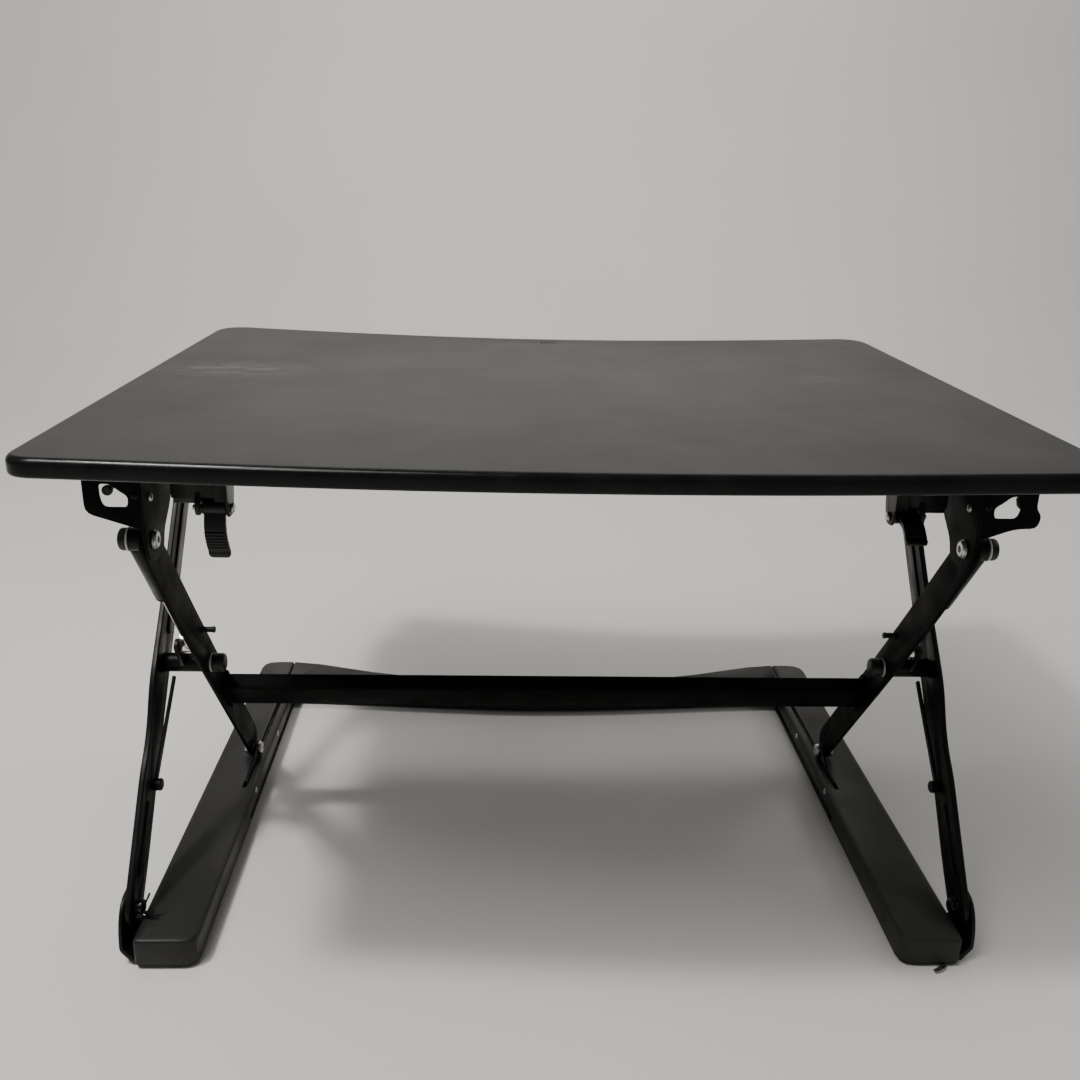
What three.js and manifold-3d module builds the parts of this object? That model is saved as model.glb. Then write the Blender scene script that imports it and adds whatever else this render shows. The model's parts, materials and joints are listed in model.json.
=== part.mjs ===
// Sit-stand desk converter with two crossed arms per side, shown raised.
// Millimetres. X to the right, Y towards the rear edge, Z up, the floor is Z = 0.
import * as THREE from 'three';
import { mergeVertices } from 'three/addons/utils/BufferGeometryUtils.js';
import Module from 'manifold-3d';

const wasm = await Module();
wasm.setup();

// ---- overall sizes ---------------------------------------------------------------
const OVERALL_WIDTH = 800;
const RAISED_HEIGHT = 500;
const BOARD_THICKNESS = 15;
const BOARD_DEPTH = 655;
const FRONT_BOW = 20;
const REAR_HOLLOW = 51;

// ---- scissor ---------------------------------------------------------------------
const PIVOT_Y = -202.5;
const PIVOT_BELOW_TOP = 99;
const BASE_PIVOT_Z = 41;
const ARM_RUN = 289;
const GAP = 0.3;

// ---- base ------------------------------------------------------------------------
const FOOT_HEIGHT = 2.7;
const BASE_PLATE = 2.2;
const COVER_TOP_Z = 32;
const COVER_WALL = 2.4;
const RAIL_WIDTH = 57.5;
const RAIL_SPLAY = 4;
const BASE_FRONT_REACH = 36;
const BEHIND_TRACK = 81.34;
const CROSS_DEPTH = 69;

// ---- where the plates of one side lie, counted inwards from the desktop's edge ----
const BRACKET_INSET = 63.5;
const BRACKET_SHEET = 3;
const INNER_ARM_SHEET = 4;
const SPRING_STAND_OFF = 8.4;
const OUTER_ARM_INSET = 15;
const OUTER_ARM_SHEET = 5.5;
const EAR_SHEET = 3;
const SHAFT_RADIUS = 5;
const HEAD_RADIUS = 8;
const CAP_RADIUS = 9.5;

// ---- gas spring ------------------------------------------------------------------
const CYLINDER_RADIUS = 7.5;
const ROD_RADIUS = 3;
const CRANK = 35.8;
const CYLINDER_SHARE = 0.5;

// ---- hand levers -----------------------------------------------------------------
const LEVER_INSET = 119;
const LEVER_WIDTH = 19;
const LEVER_DROP = 43;
const LEVER_PIVOT_Y = 22;
const LEVER_PIVOT_BELOW_TOP = 78;
const RIGHT_LEVER_SWING = 70;

// ---- sizes that follow -----------------------------------------------------------
const UNDERSIDE_Z = RAISED_HEIGHT - BOARD_THICKNESS;
const TOP_PIVOT_Z = RAISED_HEIGHT - PIVOT_BELOW_TOP;
const ARM_RISE = TOP_PIVOT_Z - BASE_PIVOT_Z;
const ARM_LENGTH = Math.hypot(ARM_RUN, ARM_RISE);
const HALF_WIDTH = OVERALL_WIDTH / 2;
const BRACKET_X = HALF_WIDTH - BRACKET_INSET;
const INNER_ARM_X = BRACKET_X + BRACKET_SHEET + 0.5;
const OUTER_ARM_X = HALF_WIDTH - OUTER_ARM_INSET;
const LEVER_X = HALF_WIDTH - LEVER_INSET;
const SEAM_X = BRACKET_X + 1.5;
const RAIL_INNER_X = BRACKET_X - 14.5;
const RAIL_OUTER_X = RAIL_INNER_X + RAIL_WIDTH;
const SPRING_REACH = ARM_LENGTH / 2 - CRANK;
const CYLINDER_END = SPRING_REACH * CYLINDER_SHARE;
const BASE_REAR_REACH = ARM_LENGTH + BEHIND_TRACK;
const ARM_COS = ARM_RUN / ARM_LENGTH;
const ARM_SIN = ARM_RISE / ARM_LENGTH;
const REAR_PIVOT_Y = PIVOT_Y + ARM_RUN;
const CENTRE_Y = PIVOT_Y + ARM_RUN / 2;
const CENTRE_Z = (TOP_PIVOT_Z + BASE_PIVOT_Z) / 2;
const INNER_ARM_OUT_X = INNER_ARM_X + INNER_ARM_SHEET;
const SPRING_X = INNER_ARM_OUT_X + SPRING_STAND_OFF;
const OUTER_ARM_OUT_X = OUTER_ARM_X + OUTER_ARM_SHEET;
const BORE_RADIUS = SHAFT_RADIUS + GAP;
const PLATE_BOTTOM_Z = FOOT_HEIGHT + GAP;
const PLATE_TOP_Z = PLATE_BOTTOM_Z + BASE_PLATE;
const BASE_FRONT_Y = PIVOT_Y - BASE_FRONT_REACH;
const BASE_REAR_Y = PIVOT_Y + BASE_REAR_REACH;
const BOARD_FRONT_Y = PIVOT_Y - 138;
const BOARD_REAR_Y = BOARD_FRONT_Y + BOARD_DEPTH;

// ---- materials -------------------------------------------------------------------
const material = (name, colour, roughness, metalness) =>
  new THREE.MeshStandardMaterial({ name, color: colour, roughness, metalness });
const BOARD_FOIL = material('board_foil', 0x5d5c58, 0.62, 0);
const BLACK_STEEL = material('black_steel', 0x0d0d0d, 0.28, 0.2);
const ZINC = material('zinc_steel', 0xc9c9c6, 0.3, 1);
const NICKEL = material('nickel_steel', 0xe2ddd4, 0.22, 1);
const COVER_PLASTIC = material('cover_plastic', 0x2e2e2d, 0.5, 0);
const BLACK_PLASTIC = material('black_plastic', 0x141414, 0.45, 0);
const RUBBER = material('foot_rubber', 0x1a1a1a, 0.85, 0);

// ---- outlines --------------------------------------------------------------------
const CORNER_STEPS = 3;

// Short chords along the parabola that eases one corner.
function easeCorner(shape, [x, y], before, after) {
  for (let step = 1; step <= CORNER_STEPS; step += 1) {
    const t = step / CORNER_STEPS;
    const back = (1 - t) * (1 - t);
    shape.lineTo(x + before.x * back + after.x * t * t, y + before.y * back + after.y * t * t);
  }
}

// Closed outline through the points, each corner eased by its own radius.
function easedShape(points) {
  const shape = new THREE.Shape();
  const count = points.length;
  points.forEach(([x, y, radius = 0], i) => {
    const [px, py] = points[(i + count - 1) % count];
    const [nx, ny] = points[(i + 1) % count];
    const before = new THREE.Vector2(px - x, py - y);
    const after = new THREE.Vector2(nx - x, ny - y);
    const reach = Math.min(radius, before.length() * 0.49, after.length() * 0.49);
    before.setLength(reach);
    after.setLength(reach);
    const enter = i === 0 ? 'moveTo' : 'lineTo';
    shape[enter](x + before.x, y + before.y);
    if (reach > 0) easeCorner(shape, [x, y], before, after);
  });
  shape.closePath();
  return shape;
}

function circle(x, y, radius) {
  const path = new THREE.Path();
  path.absarc(x, y, radius, 0, Math.PI * 2, true);
  return path;
}

function disc(x, y, radius, bore = 0) {
  const shape = new THREE.Shape();
  shape.absarc(x, y, radius, 0, Math.PI * 2, false);
  if (bore > 0) shape.holes.push(circle(x, y, bore));
  return shape;
}

function hexagon(x, y, acrossFlats) {
  const radius = acrossFlats / Math.sqrt(3);
  const corner = (i) => [x + radius * Math.cos(i * Math.PI / 3), y + radius * Math.sin(i * Math.PI / 3)];
  return easedShape([0, 1, 2, 3, 4, 5].map(corner));
}

// ---- solids ----------------------------------------------------------------------
function slab(shape, thickness, ease, segments = 8, easeSteps = 1) {
  return new THREE.ExtrudeGeometry(shape, {
    depth: thickness - 2 * ease,
    bevelEnabled: ease > 0,
    bevelThickness: ease,
    bevelSize: ease,
    bevelOffset: -ease,
    bevelSegments: easeSteps,
    curveSegments: segments,
  }).translate(0, 0, ease);
}

// Outline given as (y, z), pressed out along X.
function alongX(shape, x0, x1, ease = 0, segments = 8) {
  const turn = new THREE.Matrix4().makeBasis(
    new THREE.Vector3(0, 1, 0), new THREE.Vector3(0, 0, 1), new THREE.Vector3(1, 0, 0));
  return slab(shape, x1 - x0, ease, segments).applyMatrix4(turn).translate(x0, 0, 0);
}

// Outline given as (x, z), pressed out along Y.
function alongY(shape, y0, y1, ease = 0, segments = 8) {
  const turn = new THREE.Matrix4().makeBasis(
    new THREE.Vector3(1, 0, 0), new THREE.Vector3(0, 0, 1), new THREE.Vector3(0, -1, 0));
  return slab(shape, y1 - y0, ease, segments).applyMatrix4(turn).translate(0, y1, 0);
}

// Outline given as (x, y), pressed out along Z.
function alongZ(shape, z0, z1, ease = 0, segments = 8, easeSteps = 1) {
  return slab(shape, z1 - z0, ease, segments, easeSteps).translate(0, 0, z0);
}

function box(x0, x1, y0, y1, z0, z1, ease = 0) {
  return alongZ(easedShape([[x0, y0], [x1, y0], [x1, y1], [x0, y1]]), z0, z1, ease);
}

function barX(y, z, radius, x0, x1, ease = 0, segments = 8) {
  return alongX(disc(y, z, radius), x0, x1, ease, segments);
}

// Skin through outlines with the same number of points, listed from the bottom up.
function loft(rings) {
  const outlines = rings.map(([shape, z]) => shape.getPoints(6).slice(0, -1).map((p) => [p.x, p.y, z]));
  const count = outlines[0].length;
  const index = [];
  for (let ring = 0; ring + 1 < outlines.length; ring += 1) {
    for (let i = 0; i < count; i += 1) {
      const [a, b] = [ring * count + i, ring * count + (i + 1) % count];
      index.push(a, b, b + count, a, b + count, a + count);
    }
  }
  const lid = (ring) => THREE.ShapeUtils.triangulateShape(
    outlines[ring].map(([x, y]) => new THREE.Vector2(x, y)), []);
  const top = (outlines.length - 1) * count;
  lid(0).forEach(([a, b, c]) => index.push(a, c, b));
  lid(outlines.length - 1).forEach(([a, b, c]) => index.push(top + a, top + b, top + c));
  const geometry = new THREE.BufferGeometry();
  geometry.setAttribute('position', new THREE.Float32BufferAttribute(outlines.flat(2), 3));
  geometry.setIndex(index);
  return geometry.toNonIndexed();
}

function solid(geometry) {
  const plain = geometry.clone();
  plain.deleteAttribute('normal');
  plain.deleteAttribute('uv');
  const merged = mergeVertices(plain, 1e-4);
  const corners = Array.from(merged.index.array);
  const whole = corners.filter((_, i) => {
    const [a, b, c] = corners.slice(i - i % 3, i - i % 3 + 3);
    return a !== b && b !== c && c !== a;
  });
  return new wasm.Manifold(new wasm.Mesh({
    numProp: 3,
    vertProperties: new Float32Array(merged.attributes.position.array),
    triVerts: new Uint32Array(whole),
  }));
}

function surface(body) {
  const mesh = body.getMesh();
  const geometry = new THREE.BufferGeometry();
  geometry.setAttribute('position', new THREE.BufferAttribute(new Float32Array(mesh.vertProperties), 3));
  geometry.setIndex(new THREE.BufferAttribute(new Uint32Array(mesh.triVerts), 1));
  return geometry;
}

function joined(first, ...rest) {
  return surface(rest.reduce((body, next) => body.add(solid(next)), solid(first)));
}

function cut(first, ...tools) {
  return surface(tools.reduce((body, tool) => body.subtract(solid(tool)), solid(first)));
}

function common(first, second) {
  return surface(solid(first).intersect(solid(second)));
}

// ---- nodes -----------------------------------------------------------------------
const group = new THREE.Group();

function node(name, geometry, look) {
  const clean = geometry.index ? geometry.toNonIndexed() : geometry;
  clean.computeVertexNormals();
  const mesh = new THREE.Mesh(clean, look);
  mesh.name = name;
  group.add(mesh);
}

function mirrored(geometry) {
  const flat = (geometry.index ? geometry.toNonIndexed() : geometry.clone()).scale(-1, 1, 1);
  const xyz = flat.attributes.position;
  const corner = [0, 1, 2].map(() => new THREE.Vector3());
  for (let i = 0; i < xyz.count; i += 3) {
    corner.forEach((point, k) => point.fromBufferAttribute(xyz, i + k));
    xyz.setXYZ(i + 1, corner[2].x, corner[2].y, corner[2].z);
    xyz.setXYZ(i + 2, corner[1].x, corner[1].y, corner[1].z);
  }
  return flat;
}

// The right-hand piece is made first; the left-hand one is its mirror image.
function pair(name, geometry, look) {
  node(`${name}_right`, geometry, look);
  node(`${name}_left`, mirrored(geometry), look);
}

// Places on an arm: u runs from the arm's upper pivot down, v square to it and up.
const innerArmPoint = (u, v) => [
  PIVOT_Y + u * ARM_COS + v * ARM_SIN,
  TOP_PIVOT_Z - u * ARM_SIN + v * ARM_COS,
];
// For the outer arm u runs from its lower pivot up, v square to it and up to the front.
const outerArmPoint = (u, v) => [
  PIVOT_Y + u * ARM_COS - v * ARM_SIN,
  BASE_PIVOT_Z + u * ARM_SIN + v * ARM_COS,
];

// ---- desktop ---------------------------------------------------------------------
const PLUG_RADIUS = 8;
const PLUG_Y = BOARD_REAR_Y - REAR_HOLLOW - 33;

function boardOutline() {
  const half = HALF_WIDTH;
  const corner = 24;
  const rearCorner = 32;
  const cornerY = BOARD_FRONT_Y + FRONT_BOW;
  const shape = new THREE.Shape();
  shape.moveTo(0, BOARD_FRONT_Y);
  shape.bezierCurveTo(half * 0.45, BOARD_FRONT_Y, half * 0.7, cornerY - 7, half - corner, cornerY - 1);
  shape.quadraticCurveTo(half, cornerY, half, cornerY + corner);
  shape.lineTo(half, BOARD_REAR_Y - rearCorner * 1.25);
  shape.quadraticCurveTo(half, BOARD_REAR_Y, half - rearCorner, BOARD_REAR_Y);
  shape.bezierCurveTo(half * 0.66, BOARD_REAR_Y - 25, half * 0.3, BOARD_REAR_Y - REAR_HOLLOW,
    0, BOARD_REAR_Y - REAR_HOLLOW);
  shape.bezierCurveTo(-half * 0.3, BOARD_REAR_Y - REAR_HOLLOW, -half * 0.66, BOARD_REAR_Y - 25,
    rearCorner - half, BOARD_REAR_Y);
  shape.quadraticCurveTo(-half, BOARD_REAR_Y, -half, BOARD_REAR_Y - rearCorner * 1.25);
  shape.lineTo(-half, cornerY + corner);
  shape.quadraticCurveTo(-half, cornerY, corner - half, cornerY - 1);
  shape.bezierCurveTo(-half * 0.7, cornerY - 7, -half * 0.45, BOARD_FRONT_Y, 0, BOARD_FRONT_Y);
  return shape;
}

function desktop() {
  const edge = 4.5;
  const board = alongZ(boardOutline(), UNDERSIDE_Z, RAISED_HEIGHT, edge, 12, 2);
  const hole = alongZ(disc(0, PLUG_Y, PLUG_RADIUS + GAP), UNDERSIDE_Z - 1, RAISED_HEIGHT + 1, 0, 12);
  node('desktop_board', cut(board, hole), BOARD_FOIL);
  node('rear_plug', alongZ(disc(0, PLUG_Y, PLUG_RADIUS), UNDERSIDE_Z + 4, RAISED_HEIGHT - 0.2, 0.6, 12),
    BLACK_PLASTIC);
}

// ---- front brackets under the desktop ------------------------------------------------
const FLANGE_TOP_Z = UNDERSIDE_Z - GAP;
const FLANGE_SHEET = 2.6;
const BRACKET_FRONT_Y = PIVOT_Y - 19.5;
const BRACKET_REAR_Y = PIVOT_Y + 72;

function frontBrackets() {
  const below = (drop) => RAISED_HEIGHT - drop;
  const top = FLANGE_TOP_Z - 0.5;
  const plate = easedShape([
    [BRACKET_FRONT_Y, top], [BRACKET_FRONT_Y, below(84), 6], [PIVOT_Y - 15, below(112), 14],
    [PIVOT_Y + 2, below(119), 12], [PIVOT_Y + 26, below(116), 12], [PIVOT_Y + 30, below(101), 8],
    [PIVOT_Y + 58, below(78), 14], [BRACKET_REAR_Y, top],
  ]);
  plate.holes.push(circle(PIVOT_Y, TOP_PIVOT_Z, BORE_RADIUS));
  const side = alongX(plate, BRACKET_X, BRACKET_X + BRACKET_SHEET, 0.6);
  const flange = box(BRACKET_X - 9, BRACKET_X + BRACKET_SHEET, BRACKET_FRONT_Y, BRACKET_REAR_Y,
    FLANGE_TOP_Z - FLANGE_SHEET, FLANGE_TOP_Z, 0.5);
  pair('front_bracket', joined(side, flange), BLACK_STEEL);
}

// Plate facing the user, with a window, that a keyboard shelf would hang on. Its
// outline is counted outwards from the side bracket and down from the desktop's top.
const SHELF_PLATE_X = BRACKET_X + BRACKET_SHEET + 1.8;
const SHELF_PLATE_WIDTH = 39.7;

function shelfBracketPlate(lug) {
  const place = ([out, drop, radius]) => [SHELF_PLATE_X + out, RAISED_HEIGHT - drop, radius];
  const wide = SHELF_PLATE_WIDTH;
  const top = RAISED_HEIGHT - FLANGE_TOP_Z;
  const lugEdge = [[24.7, 73.5, 8], [wide + 3, 73, 6], [wide + 5, 62, 7]];
  const plainEdge = [[wide, 70, 9]];
  const plate = easedShape([
    [-4.4, top], [-4.4, 84, 2], [2, 82, 4], ...(lug ? lugEdge : plainEdge), [wide, 56, 6], [wide, top],
  ].map(place));
  plate.holes.push(easedShape([
    [6, 65, 3], [24.7, 65, 4], [27, 57, 4], [27, 46, 3], [18, 46, 3], [11, 52, 3], [4.5, 56, 4],
  ].map(place)));
  const front = alongY(plate, BRACKET_FRONT_Y - 3.2, BRACKET_FRONT_Y - 0.2, 0.6);
  const sideTab = box(SHELF_PLATE_X, SHELF_PLATE_X + 2.8, BRACKET_FRONT_Y - 1.2, PIVOT_Y + 8,
    RAISED_HEIGHT - 70, FLANGE_TOP_Z - 0.4, 0.5);
  return joined(front, sideTab);
}

function shelfBrackets() {
  node('shelf_bracket_right', shelfBracketPlate(true), BLACK_STEEL);
  node('shelf_bracket_left', mirrored(shelfBracketPlate(false)), BLACK_STEEL);
}

// ---- hand levers -----------------------------------------------------------------
const LEVER_Y = PIVOT_Y + LEVER_PIVOT_Y;
const LEVER_Z = RAISED_HEIGHT - LEVER_PIVOT_BELOW_TOP;
const LEVER_PIN_RADIUS = 2.6;
const LEVER_HUB_RADIUS = 6;

function leverPaddle() {
  const profile = easedShape([
    [-5.8, 1], [-6.5, -14, 4], [-8.5, -26, 6], [-7.5, -LEVER_DROP, 3], [-3, -LEVER_DROP - 1, 3],
    [-3, -26, 6], [-0.5, -14, 4], [4.5, -2, 2],
  ].map(([y, z, r]) => [LEVER_Y + y, LEVER_Z + z, r]));
  const blade = alongX(profile, LEVER_X, LEVER_X + LEVER_WIDTH, 0.3);
  const hub = barX(LEVER_Y, LEVER_Z, LEVER_HUB_RADIUS, LEVER_X - 0.6, LEVER_X + LEVER_WIDTH + 1, 0.8);
  const bore = barX(LEVER_Y, LEVER_Z, LEVER_PIN_RADIUS + GAP, LEVER_X - 5, LEVER_X + LEVER_WIDTH + 5);
  return cut(joined(blade, hub), bore);
}

function swung(geometry, degrees) {
  return geometry.clone().translate(0, -LEVER_Y, -LEVER_Z)
    .rotateX(THREE.MathUtils.degToRad(degrees)).translate(0, LEVER_Y, LEVER_Z);
}

function levers() {
  const paddle = leverPaddle();
  node('lever_right', swung(paddle, -RIGHT_LEVER_SWING), BLACK_PLASTIC);
  node('lever_left', mirrored(paddle), BLACK_PLASTIC);
  const pin = barX(LEVER_Y, LEVER_Z, LEVER_PIN_RADIUS, LEVER_X - 6.5, LEVER_X + LEVER_WIDTH + 9, 0.5);
  pair('lever_pin', pin, ZINC);

  const cheekX = LEVER_X - 3.6;
  const cheek = easedShape([
    [LEVER_Y - 8, LEVER_Z - 7, 6], [LEVER_Y + 8, LEVER_Z - 7, 6], [LEVER_Y + 14, LEVER_Z + 12, 6],
    [LEVER_Y + 16, FLANGE_TOP_Z - 0.5], [LEVER_Y - 12, FLANGE_TOP_Z - 0.5], [LEVER_Y - 12, LEVER_Z + 14, 4],
  ]);
  cheek.holes.push(circle(LEVER_Y, LEVER_Z, LEVER_PIN_RADIUS + GAP));
  const plate = alongX(cheek, cheekX, cheekX + 2.5, 0.5);
  const flange = box(cheekX - 18, cheekX + 2.5, LEVER_Y - 12, LEVER_Y + 16, FLANGE_TOP_Z - FLANGE_SHEET,
    FLANGE_TOP_Z, 0.5);
  const faceX = cheekX + 10.8;
  const face = box(cheekX, faceX, LEVER_Y - 12, LEVER_Y - 9.5, LEVER_Z + 8, FLANGE_TOP_Z - 0.5, 0.5);
  pair('lever_bracket', joined(plate, flange, face), BLACK_STEEL);

  const housingX = LEVER_X + 8;
  const body = box(housingX, BRACKET_X - 10.5, LEVER_Y - 1, LEVER_Y + 42, LEVER_Z + 7.5, FLANGE_TOP_Z, 1);
  const earX = LEVER_X + LEVER_WIDTH + 2;
  const ear = alongX(easedShape([
    [LEVER_Y - 7, LEVER_Z - 6, 5], [LEVER_Y + 7, LEVER_Z - 6, 5], [LEVER_Y + 14, LEVER_Z + 9],
    [LEVER_Y - 0.6, LEVER_Z + 14], [LEVER_Y - 7, LEVER_Z + 4, 3],
  ]), earX, earX + 4, 0.5);
  const bore = barX(LEVER_Y, LEVER_Z, LEVER_PIN_RADIUS + GAP, earX - 2, earX + 8);
  const apron = box(housingX, housingX + 24, LEVER_Y + 9.5, LEVER_Y + 42, LEVER_Z + 0.5, LEVER_Z + 10, 1);
  const cableEnd = box(earX + 1, BRACKET_X - 11.5, LEVER_Y + 0.5, LEVER_Y + 40, LEVER_Z + 3, LEVER_Z + 10, 1);
  pair('lever_housing', cut(joined(body, ear, apron, cableEnd), bore), BLACK_PLASTIC);
}

// ---- rails under the rear of the desktop --------------------------------------------
const RAIL_START_Y = REAR_PIVOT_Y - 27;
const RAIL_END_Y = PIVOT_Y + ARM_LENGTH + 32;
const SHOE_HALF_HEIGHT = 12;
const SHOE_HALF_LENGTH = 20;
const LIP = 2.6;
const WEB_X = OUTER_ARM_X - 19;
const RAIL_CUT_RUN = 62;
const RAIL_FRONT_TAB = 44;
const SHOE_X = WEB_X + LIP + 0.8;

function topRails() {
  const low = TOP_PIVOT_Z - SHOE_HALF_HEIGHT - GAP - LIP;
  const high = TOP_PIVOT_Z + SHOE_HALF_HEIGHT + GAP + LIP;
  const top = FLANGE_TOP_Z - 0.5;
  const web = easedShape([
    [RAIL_START_Y, low], [RAIL_END_Y, low], [RAIL_END_Y, high + 4, 4], [RAIL_END_Y - 8, top],
    [RAIL_END_Y - RAIL_CUT_RUN, top], [RAIL_END_Y - RAIL_CUT_RUN, high, 14],
    [RAIL_START_Y + RAIL_FRONT_TAB, high, 14], [RAIL_START_Y + RAIL_FRONT_TAB, top], [RAIL_START_Y, top],
  ]);
  const plate = alongX(web, WEB_X, WEB_X + LIP);
  const lipEnd = OUTER_ARM_X - 2.6;
  const lower = box(WEB_X, lipEnd, RAIL_START_Y, RAIL_END_Y, low, low + LIP);
  const upper = box(WEB_X, lipEnd, RAIL_START_Y, RAIL_END_Y, high - LIP, high);
  const flangeLow = FLANGE_TOP_Z - FLANGE_SHEET;
  const flange = (y0, y1) => box(WEB_X - 24, WEB_X + LIP, y0, y1, flangeLow, FLANGE_TOP_Z);
  const rail = joined(plate, lower, upper, flange(RAIL_START_Y, RAIL_START_Y + RAIL_FRONT_TAB),
    flange(RAIL_END_Y - RAIL_CUT_RUN, RAIL_END_Y - 8));
  pair('top_rail', rail, BLACK_STEEL);

  const corners = [[-1, -1], [1, -1], [1, 1], [-1, 1]];
  const shoe = easedShape(corners.map(([a, b]) =>
    [REAR_PIVOT_Y + a * SHOE_HALF_LENGTH, TOP_PIVOT_Z + b * SHOE_HALF_HEIGHT, 3]));
  shoe.holes.push(circle(REAR_PIVOT_Y, TOP_PIVOT_Z, BORE_RADIUS));
  pair('top_shoe', alongX(shoe, SHOE_X, OUTER_ARM_X - 2, 0.6), BLACK_PLASTIC);

  const shaft = barX(REAR_PIVOT_Y, TOP_PIVOT_Z, SHAFT_RADIUS, SHOE_X + 1, OUTER_ARM_OUT_X + 1, 0.4);
  const hex = hexagon(REAR_PIVOT_Y, TOP_PIVOT_Z, 13);
  const head = alongX(hex, OUTER_ARM_OUT_X + GAP, OUTER_ARM_OUT_X + 4.5, 0.5);
  pair('top_shoe_bolt', joined(shaft, head), ZINC);
}

// ---- inner arms and the bar between them ----------------------------------------------
function innerArmOutline() {
  const end = ARM_LENGTH;
  const mid = ARM_LENGTH / 2;
  const points = [
    [-10, -17, 12], [30, -18, 20], [mid - 131, -19, 40], [mid - 31, -17, 60], [mid + 89, -13, 60],
    [end - 14, -8.6, 10], [end + 6, -8.4, 7], [end + 13, 8, 8], [end + 12, 22, 8],
    [end - 4, 27, 10], [end - 70, 25, 40], [mid + 29, 20.5, 60], [mid - 91, 18, 40], [20, 17.5, 20],
    [-12, 16, 12], [-18, 0, 10],
  ];
  const shape = easedShape(points.map(([u, v, r]) => [...innerArmPoint(u, v), r]));
  const bore = (u) => shape.holes.push(circle(...innerArmPoint(u, 0), BORE_RADIUS));
  [0, ARM_LENGTH / 2, ARM_LENGTH].forEach(bore);
  return shape;
}

const BAR_U = ARM_LENGTH * 0.67;
const BAR_V = 7;
const BAR_ALONG = 40;
const BAR_ACROSS = 18;
const BAR_END_SHEET = 3;

function barShape(along, across, ease) {
  const corners = [[-1, -1], [1, -1], [1, 1], [-1, 1]];
  return easedShape(corners.map(([a, b]) =>
    [...innerArmPoint(BAR_U + a * along / 2, BAR_V + b * across / 2), ease]));
}

function innerFrame() {
  pair('inner_arm', alongX(innerArmOutline(), INNER_ARM_X, INNER_ARM_OUT_X, 0.7), BLACK_STEEL);
  const endX = INNER_ARM_X - GAP - BAR_END_SHEET;
  const tube = barShape(BAR_ALONG, BAR_ACROSS, 3);
  tube.holes.push(barShape(BAR_ALONG - 4, BAR_ACROSS - 4, 2));
  node('cross_bar', alongX(tube, GAP - endX, endX - GAP), BLACK_STEEL);
  pair('cross_bar_end', alongX(barShape(BAR_ALONG + 6, BAR_ACROSS + 6, 3), endX, endX + BAR_END_SHEET, 0.5),
    BLACK_STEEL);
  const [pinY, pinZ] = innerArmPoint(ARM_LENGTH * 0.4, 13);
  const pin = barX(pinY, pinZ, 2.4, INNER_ARM_X - 11, INNER_ARM_X - GAP, 0.5);
  const knob = barX(pinY, pinZ, 3.2, INNER_ARM_X - 12.5, INNER_ARM_X - 9.5, 0.6);
  pair('cable_peg', joined(pin, knob), BLACK_PLASTIC);
}

// ---- outer arms ------------------------------------------------------------------------
function outerArmOutline() {
  const end = ARM_LENGTH;
  const mid = ARM_LENGTH / 2;
  const points = [
    [-20, -2, 10], [-12, -20, 12], [40, -22, 20], [mid - 119, -20, 20], [mid + 9, -19, 40],
    [end + 12, -19, 12], [end + 20, 0, 10], [end + 12, 19, 12], [mid + 69, 20, 40], [mid + 9, 24, 20],
    [mid - 26, 26, 20], [mid - 63, 18, 14], [mid - 86, 17, 12], [mid - 113, 21, 12], [60, 20, 20],
    [-12, 19, 12],
  ];
  const shape = easedShape(points.map(([u, v, r]) => [...outerArmPoint(u, v), r]));
  const bore = (u) => shape.holes.push(circle(...outerArmPoint(u, 0), BORE_RADIUS));
  [0, ARM_LENGTH / 2, ARM_LENGTH].forEach(bore);
  return shape;
}

function armRib(u0, u1) {
  const half = 6;
  const rim = [[u0, -half], [u1, -half], [u1, half], [u0, half]];
  const outline = easedShape(rim.map(([u, v]) => [...outerArmPoint(u, v), 6]));
  return alongX(outline, OUTER_ARM_X - 2, OUTER_ARM_X + 0.5, 0.9);
}

// The stay leaves the arm at its boss and leans away from it towards the middle pivot.
const STAY_U = ARM_LENGTH / 2 - 119;
const STAY_LEAN = 0.062;

function outerArms() {
  const blade = alongX(outerArmOutline(), OUTER_ARM_X, OUTER_ARM_OUT_X, 1);
  const arm = joined(blade, armRib(26, STAY_U - 16), armRib(ARM_LENGTH / 2 + 29, ARM_LENGTH - 24));
  pair('outer_arm', arm, BLACK_STEEL);

  const stayX = OUTER_ARM_X - GAP;
  const stayEnd = ARM_LENGTH / 2 - 13;
  const strap = easedShape([[STAY_U, -9], [stayEnd, -8], [stayEnd, -2], [STAY_U, -3]]
    .map(([u, v]) => [...outerArmPoint(u, v), 1.5]));
  const start = STAY_U + PIVOT_Y * ARM_COS + BASE_PIVOT_Z * ARM_SIN;
  const lean = new THREE.Matrix4().set(
    1, -STAY_LEAN * ARM_COS, -STAY_LEAN * ARM_SIN, STAY_LEAN * start,
    0, 1, 0, 0,
    0, 0, 1, 0,
    0, 0, 0, 1);
  const strip = alongX(strap, stayX - 3.6, stayX - 1, 0.4).applyMatrix4(lean);
  const [bossY, bossZ] = outerArmPoint(STAY_U, -6);
  const boss = barX(bossY, bossZ, 6, stayX - 9, stayX, 1, 12);
  pair('arm_stay', joined(strip, boss), BLACK_STEEL);
}

// ---- middle pivots -----------------------------------------------------------------------
const TUBE_X = INNER_ARM_OUT_X + GAP;
const LUG_X = SPRING_X + 9.6;

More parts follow.
